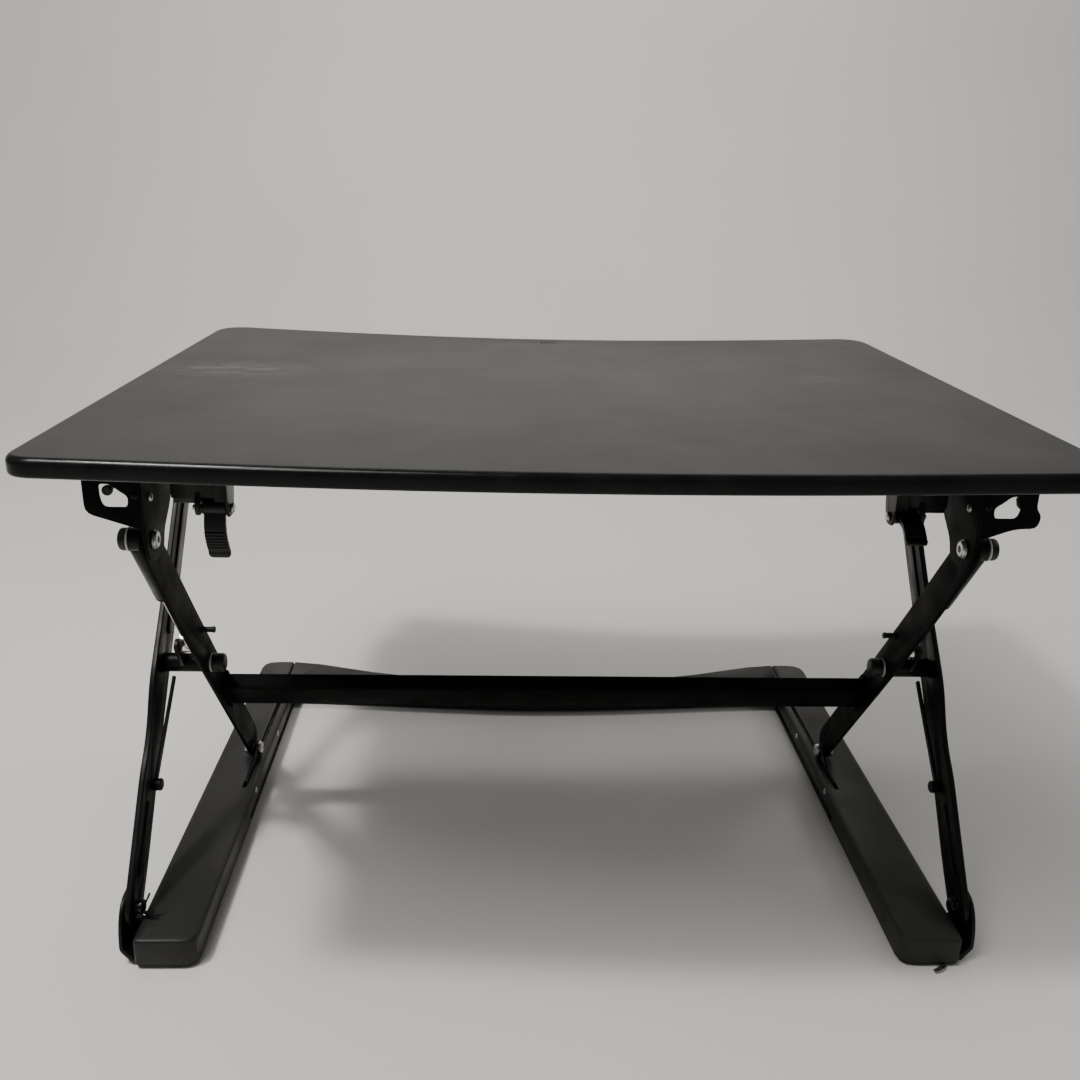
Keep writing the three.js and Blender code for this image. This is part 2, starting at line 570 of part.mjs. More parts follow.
function middlePivots() {
  const [y, z] = [CENTRE_Y, CENTRE_Z];
  const tube = alongX(disc(y, z, CAP_RADIUS, BORE_RADIUS), TUBE_X, OUTER_ARM_X - GAP, 0.5);
  const [eyeY, eyeZ] = innerArmPoint(SPRING_REACH, 0);
  const toEye = (along, across) => [
    y + (eyeY - y) / CRANK * along + (eyeZ - z) / CRANK * across,
    z + (eyeZ - z) / CRANK * along - (eyeY - y) / CRANK * across,
  ];
  const rim = [[6, -9], [CRANK + 7, -6], [CRANK + 7, 6], [6, 9]];
  const lug = alongX(easedShape(rim.map(([a, b]) => [...toEye(a, b), 5])), LUG_X, LUG_X + 4, 0.5);
  const crankPin = barX(eyeY, eyeZ, 4, LUG_X - 2.4, LUG_X + 1, 0.4);
  pair('centre_tube', joined(tube, lug, crankPin), BLACK_STEEL);

  const cap = barX(y, z, CAP_RADIUS, INNER_ARM_X - 15, INNER_ARM_X - GAP, 1.2, 10);
  const shaft = barX(y, z, SHAFT_RADIUS, INNER_ARM_X - 5, OUTER_ARM_OUT_X + 2, 0.4);
  const nut = alongX(hexagon(y, z, 13), OUTER_ARM_OUT_X + GAP, OUTER_ARM_OUT_X + 4.5, 0.5);
  pair('centre_bolt', joined(cap, shaft, nut), ZINC);
}

// ---- upper front pivots --------------------------------------------------------------------
const EYE_X = INNER_ARM_OUT_X + 0.8;
const EYE_OUT_X = INNER_ARM_OUT_X + 11;

function upperPivots() {
  const [y, z] = [PIVOT_Y, TOP_PIVOT_Z];
  const head = barX(y, z, HEAD_RADIUS, BRACKET_X - 5.5, BRACKET_X - GAP, 1, 10);
  const socket = alongX(hexagon(y, z, 6), BRACKET_X - 7, BRACKET_X - 2.5);
  const shaft = barX(y, z, SHAFT_RADIUS, BRACKET_X - 2, EYE_OUT_X + 4);
  const cap = barX(y, z, CAP_RADIUS, EYE_OUT_X + 1.8, EYE_OUT_X + 9, 1.6, 10);
  const washer = barX(y, z, CAP_RADIUS + 0.7, EYE_OUT_X + GAP, EYE_OUT_X + 1.9, 0, 10);
  pair('upper_pivot_bolt', cut(joined(head, shaft, cap, washer), socket), ZINC);
}

// ---- gas springs -----------------------------------------------------------------------------
const springBasis = new THREE.Matrix4().makeBasis(
  new THREE.Vector3(1, 0, 0),
  new THREE.Vector3(0, -ARM_SIN, -ARM_COS),
  new THREE.Vector3(0, ARM_COS, -ARM_SIN),
);

// A round bar lying along the spring, from u0 to u1 below the upper pivot.
function springBar(radius, u0, u1, ease = 0, bore = 0, segments = 8) {
  return slab(disc(0, 0, radius, bore), u1 - u0, ease, segments).translate(0, 0, u0)
    .applyMatrix4(springBasis).translate(SPRING_X, PIVOT_Y, TOP_PIVOT_Z);
}

function gasSprings() {
  const eye = alongX(disc(PIVOT_Y, TOP_PIVOT_Z, CAP_RADIUS), EYE_X, EYE_OUT_X, 0.6, 10);
  const barrel = springBar(CYLINDER_RADIUS, 6, CYLINDER_END, 1.6, 0, 10);
  const pinBore = barX(PIVOT_Y, TOP_PIVOT_Z, BORE_RADIUS, EYE_X - 3, EYE_OUT_X + 6);
  const capRoom = barX(PIVOT_Y, TOP_PIVOT_Z, CAP_RADIUS + 1.4, EYE_OUT_X, EYE_OUT_X + 12);
  const rodBore = springBar(ROD_RADIUS + GAP, 24, CYLINDER_END + 5);
  pair('gas_cylinder', cut(joined(eye, barrel), pinBore, capRoom, rodBore), BLACK_STEEL);

  const rod = springBar(ROD_RADIUS, CYLINDER_END - 66, SPRING_REACH - 12);
  const sleeve = springBar(5.4, SPRING_REACH - 25, SPRING_REACH - 4, 0.8);
  const [y, z] = innerArmPoint(SPRING_REACH, 0);
  const fork = alongX(disc(y, z, 7), SPRING_X - 5.5, SPRING_X + 6, 0.7);
  const bore = barX(y, z, 4.4, SPRING_X - 8, SPRING_X + 8);
  pair('gas_rod', cut(joined(rod, sleeve, fork), bore), NICKEL);
}

// ---- base ---------------------------------------------------------------------------------
const railInner = (y) => RAIL_INNER_X + RAIL_SPLAY * (y - BASE_FRONT_Y) / (BASE_REAR_Y - BASE_FRONT_Y);
const CROSS_Y = BASE_REAR_Y - CROSS_DEPTH;

function railPlan(inset) {
  const front = BASE_FRONT_Y + inset;
  const stepY = CROSS_Y - 1;
  return easedShape([
    [RAIL_INNER_X + inset, front, 14], [RAIL_OUTER_X - inset, front, 5],
    [RAIL_OUTER_X - inset, BASE_REAR_Y - inset, 44], [SEAM_X + GAP + inset, BASE_REAR_Y - inset, 1],
    [SEAM_X + GAP + inset, stepY - inset, 1], [railInner(stepY) + inset, stepY - inset, 1],
  ]);
}

const SLOT_X = BRACKET_X - 3.5;
const SLOT_WIDTH = 5;
const CARRIAGE_BACK = 64;
const CARRIAGE_AHEAD = 7;
const TRACK_START_Y = REAR_PIVOT_Y - CARRIAGE_BACK - 8;
const TRACK_END_Y = PIVOT_Y + ARM_LENGTH + CARRIAGE_AHEAD + 1;

const COVER_EASE = 3.5;

// Thin moulding with a rolled upper rim, open underneath; plan(inset) gives its outline.
function coverShell(plan) {
  const bottom = PLATE_TOP_Z + GAP;
  const block = loft([
    [plan(0), bottom], [plan(0), COVER_TOP_Z - COVER_EASE],
    [plan(COVER_EASE * 0.29), COVER_TOP_Z - COVER_EASE * 0.29], [plan(COVER_EASE), COVER_TOP_Z],
  ]);
  const hollow = loft([[plan(COVER_WALL), bottom - 8], [plan(COVER_WALL), COVER_TOP_Z - COVER_WALL - 2]]);
  return cut(block, hollow);
}

// Behind this line the cover's inner skirt stops short of the plate.
const SKIRT_STEP_Y = PIVOT_Y + 190;

function railCovers() {
  const shell = coverShell(railPlan);
  const [slotLow, slotHigh] = [PLATE_TOP_Z + 4, COVER_TOP_Z + 3];
  const slot = box(SLOT_X, SLOT_X + SLOT_WIDTH, TRACK_START_Y, TRACK_END_Y, slotLow, slotHigh);
  const skirt = PLATE_TOP_Z + GAP;
  const stepX = RAIL_INNER_X + RAIL_SPLAY + 3;
  const step = box(RAIL_INNER_X - 2, stepX, SKIRT_STEP_Y, CROSS_Y - 14, skirt - 1, skirt + 9);
  pair('rail_cover', cut(shell, slot, step), COVER_PLASTIC);
}

function crossPlan(inset) {
  const front = CROSS_Y + GAP + inset;
  const end = SEAM_X - GAP - inset;
  const shape = new THREE.Shape();
  shape.moveTo(-end, front);
  shape.bezierCurveTo(-end * 0.75, front, -end * 0.33, front - 20, 0, front - 20);
  shape.bezierCurveTo(end * 0.33, front - 20, end * 0.75, front, end, front);
  shape.lineTo(end, BASE_REAR_Y - inset);
  shape.bezierCurveTo(end * 0.78, BASE_REAR_Y - inset - 6, end * 0.66, BASE_REAR_Y - inset - 56,
    0, BASE_REAR_Y - inset - 56);
  shape.bezierCurveTo(-end * 0.66, BASE_REAR_Y - inset - 56, -end * 0.78, BASE_REAR_Y - inset - 6,
    -end, BASE_REAR_Y - inset);
  shape.closePath();
  return shape;
}

function rearCross() {
  node('rear_cross_cover', coverShell(crossPlan), COVER_PLASTIC);
  node('rear_cross_plate', alongZ(crossPlan(1), PLATE_BOTTOM_Z, PLATE_TOP_Z), BLACK_STEEL);
}

const EAR_OUT_X = OUTER_ARM_OUT_X + 0.5;
const EAR_TOP_Z = BASE_PIVOT_Z + 17;
const EAR_FRONT_Y = PIVOT_Y - 30;
const EAR_REAR_Y = PIVOT_Y + 24;
const EAR_BEND_Z = 15;

// The ear's side view: a lobe round the pivot on a foot that widens to the floor.
function earOutline() {
  const shape = easedShape([
    [EAR_REAR_Y, PLATE_BOTTOM_Z], [PIVOT_Y + 21, BASE_PIVOT_Z, 12], [PIVOT_Y + 13, EAR_TOP_Z, 14],
    [PIVOT_Y - 13, EAR_TOP_Z, 14], [EAR_FRONT_Y + 4, BASE_PIVOT_Z - 3, 18], [EAR_FRONT_Y, PLATE_BOTTOM_Z],
  ]);
  shape.holes.push(circle(PIVOT_Y, BASE_PIVOT_Z, BORE_RADIUS));
  return shape;
}

// The ear's section: up from the base plate, out past the arm, then straight up.
function earSection() {
  const footX = RAIL_OUTER_X + 0.6;
  return easedShape([
    [footX, PLATE_BOTTOM_Z], [footX + EAR_SHEET, PLATE_BOTTOM_Z], [EAR_OUT_X + EAR_SHEET, EAR_BEND_Z, 3],
    [EAR_OUT_X + EAR_SHEET, EAR_TOP_Z + 1], [EAR_OUT_X, EAR_TOP_Z + 1], [EAR_OUT_X, EAR_BEND_Z + 1, 3],
    [footX, PLATE_TOP_Z + 2, 2],
  ]);
}

function baseRails() {
  const floor = alongZ(railPlan(1), PLATE_BOTTOM_Z, PLATE_TOP_Z);
  const bent = alongY(earSection(), EAR_FRONT_Y - 1, EAR_REAR_Y + 1);
  const ear = common(bent, alongX(earOutline(), RAIL_OUTER_X, EAR_OUT_X + EAR_SHEET + 1));
  const foot = box(RAIL_OUTER_X - 6, RAIL_OUTER_X + 0.6 + EAR_SHEET, EAR_FRONT_Y, EAR_REAR_Y,
    PLATE_BOTTOM_Z, PLATE_TOP_Z);
  pair('base_rail', joined(floor, ear, foot), BLACK_STEEL);

  const headX = OUTER_ARM_X - 8;
  const head = barX(PIVOT_Y, BASE_PIVOT_Z, HEAD_RADIUS, headX, OUTER_ARM_X - GAP, 1.2, 10);
  const shaft = barX(PIVOT_Y, BASE_PIVOT_Z, SHAFT_RADIUS, headX + 4, EAR_OUT_X + EAR_SHEET + 0.8, 0.4);
  pair('base_pivot_bolt', joined(head, shaft), ZINC);
}

// ---- tracks and carriages in the base --------------------------------------------------------
const BLOCK_X = SLOT_X - 1.5;
const BLOCK_OUT_X = BLOCK_X + 11;
const TRACK_SHEET = 1.6;
const TRACK_FLOOR_Z = PLATE_TOP_Z + GAP;

function tracks() {
  const wall = TRACK_FLOOR_Z + 13;
  const channel = easedShape([
    [BLOCK_X - 0.5 - TRACK_SHEET, TRACK_FLOOR_Z], [BLOCK_OUT_X + 0.5 + TRACK_SHEET, TRACK_FLOOR_Z],
    [BLOCK_OUT_X + 0.5 + TRACK_SHEET, wall], [BLOCK_OUT_X + 0.5, wall],
    [BLOCK_OUT_X + 0.5, TRACK_FLOOR_Z + TRACK_SHEET], [BLOCK_X - 0.5, TRACK_FLOOR_Z + TRACK_SHEET],
    [BLOCK_X - 0.5, wall], [BLOCK_X - 0.5 - TRACK_SHEET, wall],
  ]);
  pair('track', alongY(channel, TRACK_START_Y, TRACK_END_Y - 0.5), ZINC);

  const blockBottom = TRACK_FLOOR_Z + TRACK_SHEET + 0.4;
  const block = box(BLOCK_X, BLOCK_OUT_X, REAR_PIVOT_Y - CARRIAGE_BACK, REAR_PIVOT_Y + CARRIAGE_AHEAD,
    blockBottom, COVER_TOP_Z - COVER_WALL - 3, 0.8);
  const earX = SLOT_X + 0.8;
  const ear = easedShape([
    [REAR_PIVOT_Y + 7, COVER_TOP_Z - 8], [REAR_PIVOT_Y + 7, BASE_PIVOT_Z + 9, 8],
    [REAR_PIVOT_Y - 9, BASE_PIVOT_Z + 9, 8], [REAR_PIVOT_Y - 24, COVER_TOP_Z + 6, 10],
    [REAR_PIVOT_Y - CARRIAGE_BACK + 4, COVER_TOP_Z + 2, 3],
    [REAR_PIVOT_Y - CARRIAGE_BACK + 2, COVER_TOP_Z - 8],
  ]);
  ear.holes.push(circle(REAR_PIVOT_Y, BASE_PIVOT_Z, BORE_RADIUS));
  pair('carriage', joined(block, alongX(ear, earX, earX + 3.2)), BLACK_STEEL);

  const head = barX(REAR_PIVOT_Y, BASE_PIVOT_Z, HEAD_RADIUS - 0.5, earX - 5, earX - GAP, 1, 10);
  const shaft = barX(REAR_PIVOT_Y, BASE_PIVOT_Z, SHAFT_RADIUS, earX - 2, INNER_ARM_OUT_X + 2);
  const hex = hexagon(REAR_PIVOT_Y, BASE_PIVOT_Z, 13);
  const nut = alongX(hex, INNER_ARM_OUT_X + GAP, INNER_ARM_OUT_X + 5, 0.5);
  pair('carriage_bolt', joined(head, shaft, nut), ZINC);
}

// ---- feet ------------------------------------------------------------------------------------
function feet() {
  const pad = (y) => alongZ(disc(BRACKET_X + 13.5, y, 13), 0, FOOT_HEIGHT, 0.5);
  pair('foot_front', pad(BASE_FRONT_Y + 26), RUBBER);
  pair('foot_rear', pad(BASE_REAR_Y - 40), RUBBER);
}

desktop();
frontBrackets();
shelfBrackets();
levers();
topRails();
innerFrame();
outerArms();
middlePivots();
upperPivots();
gasSprings();
railCovers();
rearCross();
baseRails();
tracks();
feet();

export default group;
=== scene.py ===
"""Finish of the raised desk converter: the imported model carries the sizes, this script the surfaces."""

import json
import math

import bpy
import numpy as np
from mathutils import Matrix, Vector


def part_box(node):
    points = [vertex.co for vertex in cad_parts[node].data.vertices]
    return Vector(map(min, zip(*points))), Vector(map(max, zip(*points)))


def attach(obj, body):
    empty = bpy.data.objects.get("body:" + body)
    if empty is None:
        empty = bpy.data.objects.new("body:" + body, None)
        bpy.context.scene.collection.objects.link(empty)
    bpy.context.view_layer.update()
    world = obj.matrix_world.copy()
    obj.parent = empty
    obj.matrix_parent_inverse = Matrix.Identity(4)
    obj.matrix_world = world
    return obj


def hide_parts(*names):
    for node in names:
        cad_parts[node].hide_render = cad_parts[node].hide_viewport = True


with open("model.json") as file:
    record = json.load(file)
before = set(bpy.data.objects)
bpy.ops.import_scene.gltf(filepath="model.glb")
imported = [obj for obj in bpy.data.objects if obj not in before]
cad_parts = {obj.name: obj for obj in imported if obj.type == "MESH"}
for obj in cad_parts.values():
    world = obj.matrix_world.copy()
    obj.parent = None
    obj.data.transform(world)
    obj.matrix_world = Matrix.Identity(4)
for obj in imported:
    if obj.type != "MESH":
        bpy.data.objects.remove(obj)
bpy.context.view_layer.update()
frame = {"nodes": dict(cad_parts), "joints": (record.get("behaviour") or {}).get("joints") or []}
nodes = frame["nodes"]


# ---- base plates ----------------------------------------------------------------
# Two long steel plates and a cross plate, laser cut and powder coated gloss black.
# Ears are folded up at the front for the outer arms. The covers hide most of it.
def noise(tree, scale, detail=3.0, roughness=0.5, stretch=(1.0, 1.0, 1.0)):
    """Fractal noise on the piece's own coordinates, in bumps per metre, squeezed by stretch."""
    place = tree.nodes.new("ShaderNodeTexCoord")
    turn = tree.nodes.new("ShaderNodeMapping")
    turn.inputs["Scale"].default_value = stretch
    grain = tree.nodes.new("ShaderNodeTexNoise")
    grain.inputs["Scale"].default_value = scale
    grain.inputs["Detail"].default_value = detail
    grain.inputs["Roughness"].default_value = roughness
    tree.links.new(place.outputs["Object"], turn.inputs["Vector"])
    tree.links.new(turn.outputs["Vector"], grain.inputs["Vector"])
    return grain.outputs["Fac"]


def between(tree, factor, low, high, start=0.35, end=0.65):
    """Carries the noise value from start..end on to low..high, clamped."""
    carry = tree.nodes.new("ShaderNodeMapRange")
    carry.inputs["From Min"].default_value = start
    carry.inputs["From Max"].default_value = end
    carry.inputs["To Min"].default_value = low
    carry.inputs["To Max"].default_value = high
    tree.links.new(factor, carry.inputs["Value"])
    return carry.outputs["Result"]


def shade(tree, factor, dark, light, start=0.3, end=0.7):
    """Colour that runs from dark to light as the noise value goes from start to end."""
    ramp = tree.nodes.new("ShaderNodeValToRGB")
    ramp.color_ramp.elements[0].position = start
    ramp.color_ramp.elements[1].position = end
    ramp.color_ramp.elements[0].color = (*dark, 1.0)
    ramp.color_ramp.elements[1].color = (*light, 1.0)
    tree.links.new(factor, ramp.inputs["Fac"])
    return ramp.outputs["Color"]


def relief(tree, height, depth, below=None):
    """Surface normal of a height map that is depth metres deep, over another normal."""
    bump = tree.nodes.new("ShaderNodeBump")
    bump.inputs["Distance"].default_value = depth
    bump.inputs["Strength"].default_value = 1.0
    tree.links.new(height, bump.inputs["Height"])
    if below is not None:
        tree.links.new(below, bump.inputs["Normal"])
    return bump.outputs["Normal"]


def material(name):
    """A new material: its tree and its shader."""
    made = bpy.data.materials.new(name)
    made.use_nodes = True
    return made, made.node_tree, made.node_tree.nodes["Principled BSDF"]


def black_steel(name, smooth, rough, bending):
    """Powder coat: near black, a faint orange peel 4 mm wide and dusty patches. It is as glossy
    as the roughness range and the light-bending index make it."""
    made, tree, shader = material(name)
    patches = noise(tree, 14.0, detail=5.0)
    tree.links.new(shade(tree, patches, (0.003, 0.003, 0.0032), (0.0075, 0.007, 0.0065)),
                   shader.inputs["Base Color"])
    tree.links.new(between(tree, noise(tree, 32.0, detail=6.0), smooth, rough),
                   shader.inputs["Roughness"])
    peel = relief(tree, noise(tree, 260.0, detail=1.0), 0.00006)
    dust = relief(tree, noise(tree, 2600.0, detail=2.0), 0.00001, peel)
    tree.links.new(dust, shader.inputs["Normal"])
    shader.inputs["IOR"].default_value = bending
    return made


BLACK_STEEL = black_steel("black_steel", 0.3, 0.46, 1.28)
WELD_REACH = 0.00001


def ease_edges(piece, width, angle=32.0, steps=2):
    """Rounds every edge sharper than angle degrees by width, with shading to match."""
    piece.data.polygons.foreach_set("use_smooth", np.ones(len(piece.data.polygons), bool))
    weld = piece.modifiers.new("weld", "WELD")
    weld.merge_threshold = WELD_REACH
    bevel = piece.modifiers.new("ease", "BEVEL")
    bevel.width = width
    bevel.segments = steps
    bevel.limit_method = "ANGLE"
    bevel.angle_limit = math.radians(angle)
    bevel.harden_normals = True


def coat(piece, look):
    """Gives the piece one material all over."""
    piece.data.materials.clear()
    piece.data.materials.append(look)


def dress(names, look, width=0.0004, angle=32.0):
    """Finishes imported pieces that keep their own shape."""
    for name in names:
        coat(nodes[name], look)
        ease_edges(nodes[name], width, angle)


def both(name):
    """The left and right names of a pair."""
    return [f"{name}_left", f"{name}_right"]


dress(both("base_rail") + ["rear_cross_plate"], BLACK_STEEL)


# ---- feet -----------------------------------------------------------------------
# Four thin round rubber pads pressed on to the underside of the base plates.
# They are turned shapes with a shallow dished face and a soft rim.
def skin(name, grid, look, wrap_rows=False):
    """Closed mesh over a grid of points (rows, columns, 3). The columns run round. The rows
    either run round as well, or each end is closed by a fan to the end ring's middle point."""
    rows, columns = grid.shape[:2]
    points = grid.reshape(-1, 3)
    across = np.arange(columns)
    beyond = (across + 1) % columns
    first = np.arange(rows if wrap_rows else rows - 1)[:, None]
    second = (first + 1) % rows
    quads = np.stack([first * columns + across, first * columns + beyond,
                      second * columns + beyond, second * columns + across], axis=-1).reshape(-1, 4)
    corners = points[quads]
    volume = np.einsum("ij,ij->i", corners[:, 0], np.cross(corners[:, 1], corners[:, 2])).sum()
    volume += np.einsum("ij,ij->i", corners[:, 0], np.cross(corners[:, 2], corners[:, 3])).sum()
    faces = quads.tolist()
    if not wrap_rows:
        poles = grid[[0, -1]].mean(axis=1)
        start, end = len(points), len(points) + 1
        last = (rows - 1) * columns
        low_fan = np.stack([beyond, across, np.full(columns, start)], axis=-1)
        high_fan = np.stack([last + across, last + beyond, np.full(columns, end)], axis=-1)
        faces += low_fan.tolist() + high_fan.tolist()
        points = np.vstack([points, poles])
        for fan in (low_fan, high_fan):
            corners = points[fan]
            volume += np.einsum("ij,ij->i", corners[:, 0],
                                np.cross(corners[:, 1], corners[:, 2])).sum()
    if volume < 0:
        faces = [face[::-1] for face in faces]
    mesh = bpy.data.meshes.new(name)
    mesh.from_pydata(points.tolist(), [], faces)
    piece = bpy.data.objects.new(name, mesh)
    bpy.context.scene.collection.objects.link(piece)
    coat(piece, look)
    mesh.polygons.foreach_set("use_smooth", np.ones(len(mesh.polygons), bool))
    return piece


def turned(name, profile, middle, axis, look, steps=40, six=()):
    """Lathe work: profile is (distance along the axis, radius) from end to end. Rows listed in
    six are hexagonal, their radius being the distance to a flat."""
    along, radius = np.array(profile, float).T
    axis = np.array(axis, float) / np.linalg.norm(axis)
    side = np.cross(axis, (0.0, 0.0, 1.0) if abs(axis[2]) < 0.9 else (1.0, 0.0, 0.0))
    side /= np.linalg.norm(side)
    up = np.cross(axis, side)
    angle = np.arange(steps) / steps * 2 * np.pi
    reach = np.repeat(radius[:, None], steps, axis=1)
    flats = 1 / np.cos((angle % (np.pi / 3)) - np.pi / 6)
    for row in six:
        reach[row] *= flats
    grid = (np.array(middle, float) + along[:, None, None] * axis
            + reach[..., None] * (np.cos(angle)[:, None] * side + np.sin(angle)[:, None] * up))
    return skin(name, grid, look)


def middle_of(name):
    """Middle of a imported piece's box."""
    low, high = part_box(name)
    return (np.array(low) + np.array(high)) / 2


def foot_rubber():
    """Matt rubber: dark grey, chalky in patches, with a coarse moulded grain."""
    made, tree, shader = material("foot_rubber")
    tree.links.new(shade(tree, noise(tree, 60.0, detail=4.0), (0.012, 0.012, 0.012),
                         (0.03, 0.029, 0.027)), shader.inputs["Base Color"])
    tree.links.new(between(tree, noise(tree, 90.0), 0.7, 0.92), shader.inputs["Roughness"])
    tree.links.new(relief(tree, noise(tree, 900.0), 0.0001), shader.inputs["Normal"])
    return made


FOOT_RUBBER = foot_rubber()
SIDES = (("left", -1.0), ("right", 1.0))
FOOT_DISH = 0.0006
FOOT_RIM = 0.0004
for end in ("front", "rear"):
    for hand, _ in SIDES:
        cad = f"foot_{end}_{hand}"
        low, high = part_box(cad)
        radius = (high[0] - low[0]) / 2
        tall = high[2]
        foot = turned(f"foot_pad_{end}_{hand}",
                      [(FOOT_DISH, 0.0), (FOOT_DISH, radius * 0.72),
                       (0.0, radius * 0.78), (0.0, radius * 0.94),
                       (FOOT_RIM, radius), (tall - FOOT_RIM, radius),
                       (tall, radius * 0.96), (tall, 0.0)],
                      middle_of(cad) * (1, 1, 0), (0, 0, 1), FOOT_RUBBER)
        ease_edges(foot, 0.0003)
        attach(foot, "base")
        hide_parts(cad)


# ---- covers ---------------------------------------------------------------------
# Long moulded covers of dark grey plastic, with a fine spark-eroded grain and a rolled
# rim, lie over the base plates, one on each side and one across the rear. Two small
# zinc-plated screws hold each side cover through its inner skirt.
def cover_plastic():
    """Grained plastic: dark grey, a fine grain 0.6 mm wide, faint handling marks and dust."""
    made, tree, shader = material("cover_plastic")
    patches = noise(tree, 7.0, detail=6.0, roughness=0.6)
    tree.links.new(shade(tree, patches, (0.012, 0.012, 0.0117), (0.021, 0.0206, 0.0197)),
                   shader.inputs["Base Color"])
    shader.inputs["Specular IOR Level"].default_value = 0.24
    tree.links.new(between(tree, noise(tree, 18.0, detail=8.0), 0.4, 0.56),
                   shader.inputs["Roughness"])
    grain = relief(tree, noise(tree, 1700.0, detail=2.0), 0.00007)
    tree.links.new(relief(tree, noise(tree, 40.0, detail=1.0), 0.00012, grain),
                   shader.inputs["Normal"])
    return made


COVER_PLASTIC = cover_plastic()
dress(both("rail_cover") + ["rear_cross_cover"], COVER_PLASTIC, 0.0005, 25.0)


def zinc_steel():
    """Bright zinc plate: grey metal with soft spangle, fine draw lines and dull patches."""
    made, tree, shader = material("zinc_steel")
    patches = noise(tree, 120.0, detail=4.0)
    tree.links.new(shade(tree, patches, (0.4, 0.4, 0.39), (0.66, 0.65, 0.62)),
                   shader.inputs["Base Color"])
    shader.inputs["Metallic"].default_value = 1.0
    tree.links.new(between(tree, noise(tree, 340.0, detail=3.0), 0.22, 0.42),
                   shader.inputs["Roughness"])
    lines = noise(tree, 1500.0, detail=2.0, stretch=(1.0, 0.12, 1.0))
    tree.links.new(relief(tree, lines, 0.00003), shader.inputs["Normal"])
    return made


def inner_wall(hand, side, y, z):
    """Distance from the desk's middle to the side cover's inner skirt at a point."""
    _, place, _, _ = nodes[f"rail_cover_{hand}"].ray_cast(Vector((0.0, y, z)), Vector((side, 0.0, 0.0)))
    return abs(place[0])


ZINC_STEEL = zinc_steel()
COVER_SCREW_PLACES = (("front", 0.02), ("rear", 0.148))
COVER_SCREW_HEIGHT = 0.0255
COVER_SCREW_SHOWS = 0.0011
COVER_SCREW = [(0.0006, 0.0), (0.0006, 0.0012), (0.0, 0.0016), (0.0003, 0.0028),
               (0.0012, 0.0034), (0.0022, 0.0034), (0.0022, 0.0)]
for hand, side in SIDES:
    for place, y in COVER_SCREW_PLACES:
        wall = inner_wall(hand, side, y, COVER_SCREW_HEIGHT)
        screw = turned(f"cover_screw_{place}_{hand}", COVER_SCREW,
                       (side * (wall - COVER_SCREW_SHOWS), y, COVER_SCREW_HEIGHT), (side, 0, 0),
                       ZINC_STEEL, steps=28)
        ease_edges(screw, 0.0002)
        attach(screw, "base")


# ---- tracks, carriages and their bolts ----------------------------------------------
# A zinc-plated channel under each cover guides a black steel carriage. The inner arm
# turns on the carriage on a shoulder bolt with a bright low round head.
dress(both("track"), ZINC_STEEL, 0.0003)
dress(both("carriage"), BLACK_STEEL, 0.0005)


def span_of(name):
    """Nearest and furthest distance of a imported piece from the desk's middle."""
    low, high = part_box(name)
    return sorted((abs(low[0]), abs(high[0])))


SOCKET_FLAT = 0.0025
for hand, side in SIDES:
    cad = f"carriage_bolt_{hand}"
    _, y, z = middle_of(cad)
    inner, outer = span_of(cad)
    head = turned(f"carriage_bolt_head_{hand}",
                  [(0.0022, 0.0), (0.0022, SOCKET_FLAT), (0.0002, SOCKET_FLAT), (0.0, 0.0034),
                   (0.0006, 0.0062), (0.0022, 0.0075), (0.0046, 0.0075), (0.0046, 0.005),
                   (outer - inner, 0.005), (outer - inner, 0.0)],
                  (side * inner, y, z), (side, 0, 0), ZINC_STEEL, steps=48, six=(1, 2))
    ease_edges(head, 0.0003)
    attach(head, f"carriage_{hand}")
    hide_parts(cad)
    nut = turned(f"carriage_nut_{hand}",
                 [(0.0, 0.0), (0.0, 0.0062), (0.0006, 0.0066), (0.004, 0.0066), (0.0048, 0.0058),
                  (0.0048, 0.0)],
                 (side * (outer - 0.005), y, z), (side, 0, 0), ZINC_STEEL, steps=48, six=(1, 2, 3, 4))
    ease_edges(nut, 0.0003)
    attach(nut, f"carriage_{hand}")


# ---- base pivots ---------------------------------------------------------------------
# Each outer arm turns inside a folded ear on a shoulder bolt. The bolt's inner end is a
# black passivated head with a hexagon socket, and a bush of the same spaces it off the arm.
def black_zinc():
    """Black passivated zinc plate: dark smooth metal, a little uneven, worn pale in specks."""
    made, tree, shader = material("black_zinc")
    tree.links.new(shade(tree, noise(tree, 150.0, detail=4.0), (0.012, 0.012, 0.012),
                         (0.05, 0.05, 0.048), 0.4, 0.75), shader.inputs["Base Color"])
    shader.inputs["Metallic"].default_value = 0.85
    tree.links.new(between(tree, noise(tree, 240.0), 0.2, 0.34), shader.inputs["Roughness"])
    tree.links.new(relief(tree, noise(tree, 1200.0), 0.00002), shader.inputs["Normal"])
    return made


BLACK_ZINC = black_zinc()
for hand, side in SIDES:
    cad = f"base_pivot_bolt_{hand}"
    _, y, z = middle_of(cad)
    inner, outer = span_of(cad)
    bolt = turned(f"base_pivot_{hand}",
                  [(0.0022, 0.0), (0.0022, SOCKET_FLAT), (0.0002, SOCKET_FLAT), (0.0, 0.0035),
                   (0.0006, 0.0058), (0.002, 0.0072), (0.0036, 0.0072), (0.0036, 0.0061),
                   (0.0062, 0.0061), (0.0062, 0.0078), (0.0075, 0.0078), (0.0075, 0.0049),
                   (outer - inner, 0.0049), (outer - inner, 0.0)],
                  (side * inner, y, z), (side, 0, 0), BLACK_ZINC, steps=48, six=(1, 2))
    ease_edges(bolt, 0.0003)
    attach(bolt, "base")
    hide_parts(cad)


